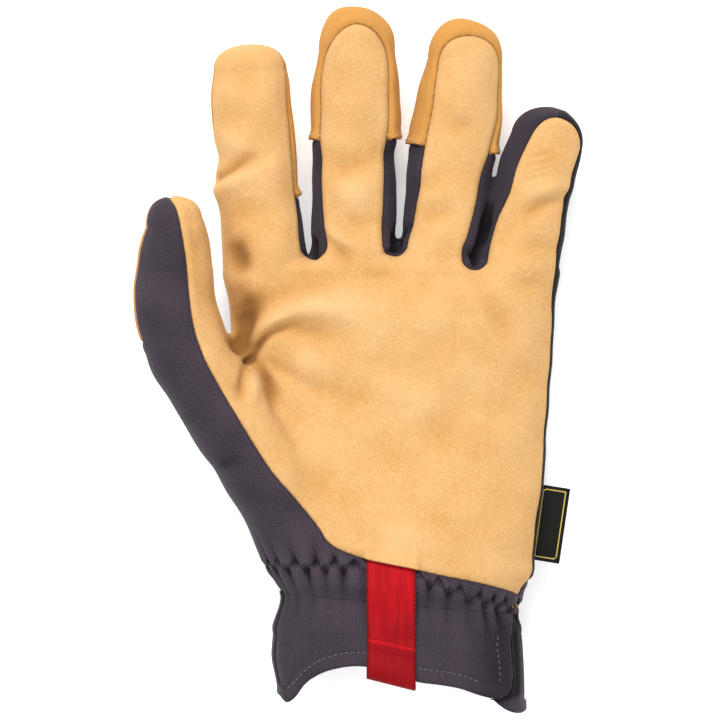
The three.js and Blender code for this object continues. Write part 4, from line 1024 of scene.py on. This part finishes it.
class Finish:
    """A material and its nodes. Constants go straight to the shader's sockets."""

    def __init__(self, name, **constants):
        self.material = bpy.data.materials.new(name)
        self.material.use_nodes = True
        self.tree = self.material.node_tree
        self.shader = self.tree.nodes["Principled BSDF"]
        for socket, value in constants.items():
            self.shader.inputs[socket.replace("_", " ").title().replace("Ior", "IOR")].default_value = value

    def node(self, kind, settings=None, inputs=None, output=0):
        """Adds a node: its settings first, then the values or links of its sockets."""
        node = self.tree.nodes.new(kind)
        for key, value in (settings or {}).items():
            setattr(node, key, value)
        for key, value in (inputs or {}).items():
            if isinstance(value, Value):
                self.tree.links.new(value.socket, node.inputs[key])
            else:
                node.inputs[key].default_value = value
        return Value(self, node.outputs[output])

    def math(self, kind, a, b=0.0):
        """Adds a Math node."""
        return self.node("ShaderNodeMath", {"operation": kind}, {0: a, 1: b})

    def wave(self, value, pitch):
        """A wave from 0 to 1 with one crest in each pitch."""
        return self.math("SINE", value * (2 * math.pi / pitch)) * 0.5 + 0.5

    def place(self):
        """Object coordinates in millimetres."""
        place = self.node("ShaderNodeTexCoord", output=3)
        return self.node("ShaderNodeVectorMath", {"operation": "SCALE"}, {0: place, "Scale": 1000.0})

    def cloth(self):
        """How far round and along the piece, and from its edge, as its points carry it."""
        parts = self.node("ShaderNodeAttribute", {"attribute_name": "cloth"}, output=1)
        split = self.node("ShaderNodeSeparateXYZ", None, {0: parts}).socket.node
        return [Value(self, output) for output in split.outputs]

    def fold_shade(self):
        """How high the cloth stands at a point because of its folds, in millimetres, with painted shade added
        beside the cuff's
        vent: the value that the finishes turn into painted shade in hollows and a painted highlight on
        ridges.
        """
        return self.node("ShaderNodeAttribute", {"attribute_name": "fold_shade"}, output=2)

    def noise(self, where, size, detail=2.0, rough=0.55, stretch=None):
        """Noise with spots of the given size."""
        if stretch:
            where = self.node("ShaderNodeMapping", None, {"Vector": where, "Scale": stretch})
        inputs = {"Vector": where, "Scale": 1 / size, "Detail": detail, "Roughness": rough}
        return self.node("ShaderNodeTexNoise", None, inputs)

    def mix(self, factor, a, b):
        """Colour a where the factor is 0 and b where it is 1."""
        a, b = (side if isinstance(side, Value) else (*side, 1) for side in (a, b))
        return self.node("ShaderNodeMix", {"data_type": "RGBA"}, {0: factor, 6: a, 7: b}, 2)

    def bump(self, height, depth, under=None):
        """A normal from a height of 0 to 1 that stands `depth` mm high."""
        inputs = {"Height": height, "Distance": depth * MM, "Strength": 1.0}
        if under:
            inputs["Normal"] = under
        return self.node("ShaderNodeBump", None, inputs)

    def show(self, **links):
        """Links values to the shader and gives back the material."""
        for socket, value in links.items():
            self.tree.links.new(value.socket, self.shader.inputs[socket.replace("_", " ").title()])
        return self.material


def suede(name, dark, light, seam_shade_tone, nap):
    """Napped leather: soft patches of lighter and darker tone, fine short fibres that catch the light,
    painted shade in its hollows and a painted highlight on its ridges, and painted shade along its seams,
    where a seam pulls it in. nap is how strongly the fibres show."""
    f = Finish(name, roughness=0.9, sheen_weight=0.06, sheen_roughness=0.5, sheen_tint=(1.0, 0.85, 0.65, 1),
               specular_ior_level=0.12)
    place, fold_shade, (_, _, edge) = f.place(), f.fold_shade(), f.cloth()
    patches = f.noise(place, 13.0, 3.0, 0.6)
    worn = f.noise(place, 3.2, 3.0, 0.65)
    fibres = f.noise(place, 0.6, 3.0, 0.75, (1.0, 0.65, 1.0))
    specks = f.noise(place, 1.3, 3.0, 0.7).ramp(0.56, 0.7)
    # The fold value paints shade in the creases and a highlight on the ridges.
    shade = 0.5 + (patches - 0.5) * 0.55 + (worn - 0.5) * 0.2 + (fibres - 0.5) * (1.25 * nap) + fold_shade * 0.2
    colour = f.mix(shade, dark, light)
    colour = f.mix(specks * (0.25 * nap), colour, [min(1.0, 1.25 * c) for c in light])
    # Painted shade, dark brown, in the deep hollows.
    colour = f.mix((fold_shade * -1).ramp(0.8, 3.4) * 0.8, colour, [0.35 * dark[0], 0.28 * dark[1], 0.25 * dark[2]])
    # Painted shade along the seams, within half a millimetre of the panel's edge.
    colour = f.mix((1 - edge.ramp(0.0, 0.45)) * 0.7, colour, seam_shade_tone)
    nap_bump = f.bump(fibres, 0.13 * nap)
    return f.show(base_color=colour, normal=f.bump(worn, 0.15, nap_bump))


def knit(name, dark, light, slant, pitch, cross_pitch, depth):
    """Stretch knit: ribs along the piece, leaning by `slant`, crossed by finer rows of loops, with lighter
    threads on the crests and a little uneven wear; painted shade in its creases and a painted highlight on
    its ridges, painted shade down to black in its deep hollows, and painted shade along its seams and hems."""
    f = Finish(name, roughness=0.85, sheen_weight=0.1, sheen_roughness=0.4, sheen_tint=(0.75, 0.68, 0.8, 1),
               specular_ior_level=0.2)
    around, along, edge = f.cloth()
    place, fold_shade = f.place(), f.fold_shade()
    drift = f.noise(place, 9.0, 2.0) - 0.5
    ribs = f.wave(around + along * slant + drift * 0.8, pitch)
    loops = f.wave(along - around * 0.35 + drift * 0.5, cross_pitch)
    threads = f.noise(place, 0.7, 2.0, 0.7)
    crest = ribs * 0.55 + loops * 0.45
    wear = f.noise(place, 14.0, 2.0)
    # The fold value paints shade in the creases and pucker valleys and a highlight on their ridges.
    shade = 0.5 + (crest - 0.5) * 0.5 + (threads - 0.5) * 0.7 + (wear - 0.5) * 0.5 + fold_shade * 0.32
    colour = f.mix(shade, dark, light)
    # Painted shade, near black, in the deep hollows.
    colour = f.mix((fold_shade * -1).ramp(0.35, 1.8) * 0.8, colour, [0.25 * c for c in dark])
    # Painted shade along the seams and hems, within half a millimetre of the edge.
    colour = f.mix((1 - edge.ramp(0.0, 0.5)) * 0.7, colour, [0.35 * c for c in dark])
    return f.show(base_color=colour, normal=f.bump(crest + threads * 0.3, depth))


def woven(name, dark, light, edge_at, turn):
    """Webbing: raised threads across, a weave of squares, two corded selvedges, a painted highlight along the
    crease at its turn, and painted shade on the stretch before the turn and on the part past it.
    """
    f = Finish(name, roughness=0.65, specular_ior_level=0.08)
    across, along, _ = f.cloth()
    place = f.place()
    rows, ends = f.wave(along + across * 0.05, 0.7), f.wave(across, 0.6)
    check = rows * 0.5 + ends * 0.3 + f.noise(place, 0.6, 2.0) * 0.25
    selvedge = f.math("ABSOLUTE", across).ramp(edge_at - 0.25, edge_at + 0.1)
    streaks = f.noise(place, 3.0, 2.0, 0.5, (1.6, 0.14, 0.14))
    shade = 0.5 + (check - 0.5) * 0.35 + (streaks - 0.5) * 1.1 + (f.noise(place, 6.0) - 0.5) * 0.5
    # A painted highlight on the crease at the turn; painted shade on the webbing as it runs down to the turn,
    # and on the part past it.
    crease_highlight = along.ramp(turn - 0.8, turn - 0.2) * (1 - along.ramp(turn, turn + 0.6))
    painted_shade = along.ramp(turn - 19, turn - 5) * 0.3 + along.ramp(turn + 0.2, turn + 1.6) * 0.2
    shade = shade - painted_shade + crease_highlight * 0.5
    colour = f.mix(shade, dark, light)
    cord = f.wave(along, 1.25)
    colour = f.mix(selvedge * (0.35 + cord * 0.4), colour, [0.45 * c for c in dark])
    return f.show(base_color=colour, normal=f.bump(check + selvedge * (0.6 + cord * 0.8), 0.07))


def tag_weave(name, ground, line):
    """A woven tag: fine rows, and a plain thin line round it a little way in from its edge."""
    f = Finish(name, roughness=0.7, specular_ior_level=0.1)
    across, along, edge = f.cloth()
    rows = f.wave(along, 0.5) * 0.6 + f.wave(across, 0.5) * 0.4
    border = edge.ramp(1.1, 1.2) * (1 - edge.ramp(1.45, 1.55))
    colour = f.mix(rows * 0.6, ground, [1.6 * c for c in ground])
    return f.show(base_color=f.mix(border, colour, line), normal=f.bump(rows + border, 0.08))


def thread(name, colour):
    """Sewing thread: twisted plies."""
    f = Finish(name, roughness=0.8, specular_ior_level=0.1)
    place = f.place()
    plies = f.noise(place, 0.25, 2.0)
    return f.show(base_color=f.mix(plies, [0.6 * c for c in colour], colour), normal=f.bump(plies, 0.05))


# The fourth colour of each leather is its painted shade along the seams.
PALM_SUEDE = suede("palm suede", (0.45, 0.225, 0.062), (0.60, 0.380, 0.175), (0.26, 0.115, 0.03), 1.0)
TIP_LEATHER = suede("tip leather", (0.38, 0.165, 0.034), (0.52, 0.265, 0.072), (0.26, 0.11, 0.024), 0.7)
KNIT_TONES = (0.017, 0.0115, 0.0175), (0.053, 0.039, 0.054)
THUMB_KNIT = knit("thumb knit", *KNIT_TONES, 0.2, 1.05, 1.0, 0.17)
CUFF_KNIT = knit("cuff knit", *KNIT_TONES, 0.12, 1.05, 1.0, 0.16)
STRIP_KNIT = knit("strip knit", *KNIT_TONES, 4.0, 1.05, 0.7, 0.2)
BACK_KNIT = knit("back knit", (0.0045, 0.004, 0.0045), (0.018, 0.016, 0.018), 0.05, 1.0, 1.2, 0.16)
FINISHES = {
    "palm_panel": PALM_SUEDE, "index_tip_cover": TIP_LEATHER, "middle_tip_cover": TIP_LEATHER,
    "ring_tip_cover": TIP_LEATHER, "thumb_guard": TIP_LEATHER, "thumb_panel": THUMB_KNIT,
    "side_strip_index_middle": STRIP_KNIT, "side_strip_middle_ring": STRIP_KNIT,
    "side_strip_ring_little": STRIP_KNIT, "back_panel": BACK_KNIT, "cuff_palm": CUFF_KNIT,
    "cuff_back": CUFF_KNIT,
}
for name, piece in cloth.items():
    piece.data.materials.append(FINISHES[name])


# The pull tab, the side tag and the stitches.


def height(x, y):
    """Height of the skin on the palm's side: the first crossing of the field, from above."""
    levels = np.linspace(50, 14, 73)
    p = np.stack([np.repeat(x, len(levels)), np.repeat(y, len(levels)), np.tile(levels, len(x))], -1)
    field = skin(p).reshape(len(x), len(levels))
    below = np.argmax(field < 0, axis=1)
    rows = np.arange(len(x))
    a, b = field[rows, below - 1], field[rows, below]
    return levels[below - 1] + (levels[below] - levels[below - 1]) * a / (a - b)


def sheet_faces(rows, columns):
    """Four-sided faces of a grid of points, row by row."""
    corner = (np.arange(rows - 1)[:, None] * columns + np.arange(columns - 1)).ravel()
    return np.stack([corner, corner + 1, corner + columns + 1, corner + columns], 1)


# The tab's line: along Y, and how far it stands off the skin below it. It starts under the suede, and its
# last rows are inside the cuff.
TAB_LINE = np.array([
    (-46.8, -1.6), (-48.6, -1.3), (-50.2, -0.7), (-51.6, 0.0), (-53.4, 0.55), (-56.0, 0.95), (-60.0, 1.1),
    (-64.0, 1.5), (-68.0, 1.5), (-73.0, 1.3), (-78.0, 1.3), (-80.6, 1.15), (-82.2, 0.9), (-83.8, 1.45),
    (-86.0, 2.1), (-88.6, 2.1), (-90.8, 1.3), (-91.8, -0.3), (-91.5, -2.2), (-89.8, -3.6), (-86.6, -4.0),
    (-82.6, -3.9), (-80.1, -3.8),
])


TAB_SHOWN, TAB_TURN = 42, 33.0  # how much of it shows, and how far along it folds round the hem


def pull_tab():
    """A strip of webbing: straight across, and along its line over the cuff, round the hem and back inside.
    Its width turns with the slant of its ends, and its edges curl a little towards the cloth."""
    steps = np.linspace(0, 1, 15)
    t = np.linspace(0, len(TAB_LINE) - 1, 121)
    rows = {"at": np.arange(len(TAB_LINE), dtype=float), "y": TAB_LINE[:, 0], "lift": TAB_LINE[:, 1]}
    y, lift = read(rows, "y", t), read(rows, "lift", t)
    down = np.clip((TAB_LINE[0, 0] - y) / TAB_SHOWN, 0, 1)
    across = (2 * steps - 1) * TAB_WIDTH / 2
    slant = 0.21 + 0.03 * down
    x = TAB_X + across[None] * (1 + 0.012 * np.sin(t / 2.3))[:, None]
    bow = 0.25 * np.sin(t / 4.0)[:, None] * across[None] / TAB_WIDTH
    yy = y[:, None] - slant[:, None] * across[None] + bow
    curl = 0.35 * (np.abs(across) / 7.6) ** 4
    z = height(x.ravel(), yy.ravel()).reshape(x.shape) + lift[:, None] - curl
    p = np.stack([x, yy, z], -1)
    length = way_along(p[:, len(steps) // 2])
    columns = np.stack(np.broadcast_arrays(across[None], length[:, None], 8.0), -1)
    faces = sheet_faces(*x.shape)[:, ::-1]
    piece = lay_mesh("pull_tab_webbing", p.reshape(-1, 3), faces, cloth=columns.reshape(-1, 3))
    return piece, length[-1]


tab, tab_length = pull_tab()
thicken(tab, 1.05, 0.0)
tab_edge = tab.modifiers.new("edge", "BEVEL")
tab_edge.width, tab_edge.segments = 0.25 * MM, 2
webbing = woven("red webbing", (0.20, 0.0015, 0.0040), (0.46, 0.004, 0.010), 7.5, TAB_TURN)
tab.data.materials.append(webbing)
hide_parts("pull_tab")

TAG_CORNERS = np.array([(47.5, -24.7), (61.4, -26.9), (44.2, -50.2), (57.6, -52.4)])
TAG_Z, TAG_IN_SEAM = 16.5, 3.6


def side_tag():
    """A small woven strip between four corners in plan, bowed a little across and along."""
    a, b = np.meshgrid(np.linspace(0, 1, 15), np.linspace(0, 1, 25))
    top_left, top_right, low_left, low_right = TAG_CORNERS
    plan = ((1 - b)[..., None] * ((1 - a)[..., None] * top_left + a[..., None] * top_right)
            + b[..., None] * ((1 - a)[..., None] * low_left + a[..., None] * low_right))
    z = TAG_Z + 0.7 * np.sin(math.pi * b) * a + 0.5 * np.sin(2.2 * a + 0.4)
    across, along = a * TAG_WIDTH, b * TAG_LENGTH
    from_edge = np.min([TAG_WIDTH - across, across - TAG_IN_SEAM, along, TAG_LENGTH - along], axis=0)
    columns = np.stack([across, along, from_edge], -1).reshape(-1, 3)
    points = np.concatenate([plan, z[..., None]], -1).reshape(-1, 3)
    return lay_mesh("side_tag_weave", points, sheet_faces(*a.shape)[:, ::-1], cloth=columns)


tag = thicken(side_tag(), 0.6, 0.0)
tag.data.materials.append(tag_weave("tag weave", (0.006, 0.006, 0.005), (0.50, 0.38, 0.09)))
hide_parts("side_tag")


def threads(name, start, end, up, thick, finish, slot):
    """Short threads from each start to its end: six-sided bars with narrow closed ends, bowed upwards."""
    t = np.linspace(0, 1, 5)
    radius = thick / 2 * (1 - np.abs(2 * t - 1) ** 3 * 0.65)
    along = unit(end - start)
    side = unit(np.cross(along, up))
    lift = np.cross(side, along)
    angle = np.arange(6) * math.pi / 3
    middle = start[:, None] + (end - start)[:, None] * t[None, :, None]
    middle = middle + lift[:, None] * (thick * 0.4 * np.sin(math.pi * t))[None, :, None]
    ring = np.cos(angle)[:, None] * side[:, None, None] + np.sin(angle)[:, None] * lift[:, None, None]
    p = middle[:, :, None] + radius[None, :, None, None] * ring
    first = (np.arange(len(start)) * 30)[:, None]
    band = np.arange(4)[:, None] * 6
    here, there = np.arange(6), (np.arange(6) + 1) % 6
    quads = np.stack([band + here, band + there, band + 6 + there, band + 6 + here], -1).reshape(-1, 4)
    walls = (first[..., None] + quads[None]).reshape(-1, 4)
    ends = np.concatenate([first + np.arange(5, -1, -1), first + 24 + np.arange(6)])
    piece = lay_mesh(name, p.reshape(-1, 3), [*walls.tolist(), *ends.tolist()])
    piece.data.materials.append(finish)
    return piece


def nearest_cloth(names, wanted, measure, lift):
    """Points `lift` above the named panels, and the way up from the cloth there, where two measures of a
    point come to the wanted values: the mean of the nearest few points, the nearer the heavier."""
    p = np.concatenate([laid[name][0] for name in names])
    n = np.concatenate([laid[name][1] for name in names])
    at = measure(p)
    gap = ((at[None] - wanted[:, None]) ** 2).sum(-1)
    nearest = np.argpartition(gap, 4, axis=1)[:, :4]
    weight = 1 / (np.take_along_axis(gap, nearest, 1) + 0.05)
    weight /= weight.sum(1, keepdims=True)
    up = unit((n[nearest] * weight[..., None]).sum(1))
    return (p[nearest] * weight[..., None]).sum(1) + lift * up, up


def in_plan(p):
    """Plan coordinates of points on the palm's side, and far values for the others."""
    return np.where(p[:, 2:] > WRIST_Z + 1, p[:, :2], 1e4)


def dashes(name, names, line, length, gap, thick, finish, slot, lift=0.12):
    """Stitches of one length along a line in plan."""
    way = way_along(line)
    starts = np.arange(0.5, way[-1] - length, length + gap)
    ends = starts + length
    (ax, ay), (bx, by) = ([np.interp(at, way, column) for column in line.T] for at in (starts, ends))
    a, up = nearest_cloth(names, np.stack([ax, ay], -1), in_plan, lift)
    b, _ = nearest_cloth(names, np.stack([bx, by], -1), in_plan, lift)
    return threads(name, a, b, up, thick, finish, slot)


HEM_THREAD = thread("hem thread", (0.15, 0.125, 0.16))
DARK_THREAD = thread("elastic thread", (0.016, 0.011, 0.016))
CREAM_THREAD = thread("cover thread", (0.62, 0.50, 0.30))
TAN_THREAD = thread("bar tack thread", (0.50, 0.30, 0.10))
VENT_TO_STITCHES, ZIGZAG = 3.4, 2.9  # how far from the vent its stitches run; how far the zigzag swings
hem_x = np.linspace(-35, 31, 120)
stitch_line = np.stack([hem_x, hem_line(hem_x, "palm") + HEM_WIDTH], -1)
dashes("hem_stitches", ["cuff_palm"], stitch_line, 1.25, 0.7, 0.42, HEM_THREAD, SLOTS["cuff_palm"])
vent_at = np.linspace(0.3, 0.8, 40)
vent_x = CUFF_X + read(VENT, "palm", vent_at) * CUFF_WIDTH / 2 - VENT_TO_STITCHES
vent_line = np.stack([vent_x, WRIST_Y - vent_at * CUFF_LENGTH], -1)
dashes("vent_stitches", ["cuff_palm"], vent_line, 1.1, 0.9, 0.4, HEM_THREAD, SLOTS["cuff_palm"])


def round_wrist(p):
    """How far points lie round the wrist and above the elastic."""
    return np.stack([WRIST_RADIUS * wrist_angle(p), past_elastic(p)], -1)


wrist = ["cuff_palm", "cuff_back", "thumb_panel", "back_panel"]
turns = np.arange(-PUCKERS, PUCKERS) * math.pi / PUCKERS
swing = np.where(np.arange(len(turns)) % 2 == 0, -ZIGZAG, ZIGZAG)
corner = np.stack([WRIST_RADIUS * turns, swing], -1)[1:]
legs = corner[:-1], corner[1:]
part = [legs[0] + (legs[1] - legs[0]) * share for share in (0.02, 0.46, 0.54, 0.98)]
start, end = np.concatenate([part[0], part[2]]), np.concatenate([part[1], part[3]])
zig_a, zig_up = nearest_cloth(wrist, start, round_wrist, 0.1)
zig_b, _ = nearest_cloth(wrist, end, round_wrist, 0.1)
clear = (np.abs(zig_a[:, 0] - TAB_X) > TAB_WIDTH / 2 + 0.5) | (zig_a[:, 2] < WRIST_Z)
clear &= np.linalg.norm(zig_b - zig_a, axis=1) < 5
threads("elastic_stitches", zig_a[clear], zig_b[clear], zig_up[clear], 0.4, DARK_THREAD, SLOTS["cuff_palm"])

COVER_TURN = 1.9 / 14  # from one stitch of a cover to the next, round the finger
cover_a, cover_b, cover_up = [], [], []
for name in ("index", "middle", "ring"):
    row = FINGERS[name]
    p, n = laid[f"{name}_tip_cover"]
    past = cover_start(p, row)
    band = (past > 0.7) & (past < 1.5)
    p, n = p[band], n[band]
    _, v, w = finger_place(row, p)
    turn = np.arctan2(w, v)
    wanted = np.arange(-math.pi, math.pi, COVER_TURN)
    gap = np.abs((turn[None] - wanted[:, None] + math.pi) % (2 * math.pi) - math.pi)
    chosen = np.argmin(gap, axis=1)[gap.min(1) < 0.06]
    along = np.array([*row["along"], 0.0])
    tangent = np.cross(along, n[chosen])
    cover_a.append(p[chosen] + 0.1 * n[chosen] - 0.45 * tangent)
    cover_b.append(p[chosen] + 0.1 * n[chosen] + 0.45 * tangent)
    cover_up.append(n[chosen])
cover_a, cover_b, cover_up = (np.concatenate(column) for column in (cover_a, cover_b, cover_up))
threads("cover_stitches", cover_a, cover_b, cover_up, 0.42, CREAM_THREAD, SLOTS["index_tip_cover"])
tack = np.array([(41.2, -66.2), (42.4, -65.7), (41.5, -67.6), (42.7, -67.1)])
tack_a, tack_up = nearest_cloth(wrist, tack[:2], in_plan, 0.3)
tack_b, _ = nearest_cloth(wrist, tack[2:], in_plan, 0.3)
threads("bar_tack", tack_a, tack_b, tack_up, 0.5, TAN_THREAD, SLOTS["palm_panel"])


# Camera, light and floor.
scene = bpy.context.scene
scene.view_settings.view_transform = "Standard"
CAMERA_HEIGHT, VIEW_WIDTH, VIEW_MIDDLE = 2.0, 0.2448, (-0.0102, 0.017)
camera = bpy.data.objects.new("camera", bpy.data.cameras.new("camera"))
scene.collection.objects.link(camera)
scene.camera = camera
camera.data.lens = camera.data.sensor_width * CAMERA_HEIGHT / VIEW_WIDTH
camera.data.clip_end = 20
camera.location = (*VIEW_MIDDLE, CAMERA_HEIGHT + 0.02)

LIGHTS = [  # place, size, power
    ((-0.3, 1.2, 1.3), 1.0, 34.0),
    ((-0.6, -0.5, 1.7), 1.8, 11.0),
    ((0.9, -0.9, 1.2), 1.6, 8.0),
]
for number, (place, size, power) in enumerate(LIGHTS):
    lamp = bpy.data.lights.new(f"softbox_{number}", "AREA")
    lamp.size, lamp.energy = size, power
    softbox = bpy.data.objects.new(lamp.name, lamp)
    softbox.location = place
    softbox.rotation_mode = "QUATERNION"
    softbox.rotation_quaternion = Vector(place).to_track_quat("Z", "Y")
    scene.collection.objects.link(softbox)
world = bpy.data.worlds.new("studio")
scene.world = world
world.use_nodes = True
world.node_tree.nodes["Background"].inputs["Color"].default_value = (1, 1, 1, 1)
world.node_tree.nodes["Background"].inputs["Strength"].default_value = 0.7

floor = bpy.data.meshes.new("floor")
floor.from_pydata([(-3, -3, 0), (3, -3, 0), (3, 3, 0), (-3, 3, 0)], [], [(0, 1, 2, 3)])
floor = bpy.data.objects.new("floor", floor)
scene.collection.objects.link(floor)
floor_finish = Finish(
    "floor", base_color=(0.93, 0.93, 0.93, 1), roughness=0.9, emission_color=(1, 1, 1, 1),
    emission_strength=0.35,
)
floor.data.materials.append(floor_finish.material)
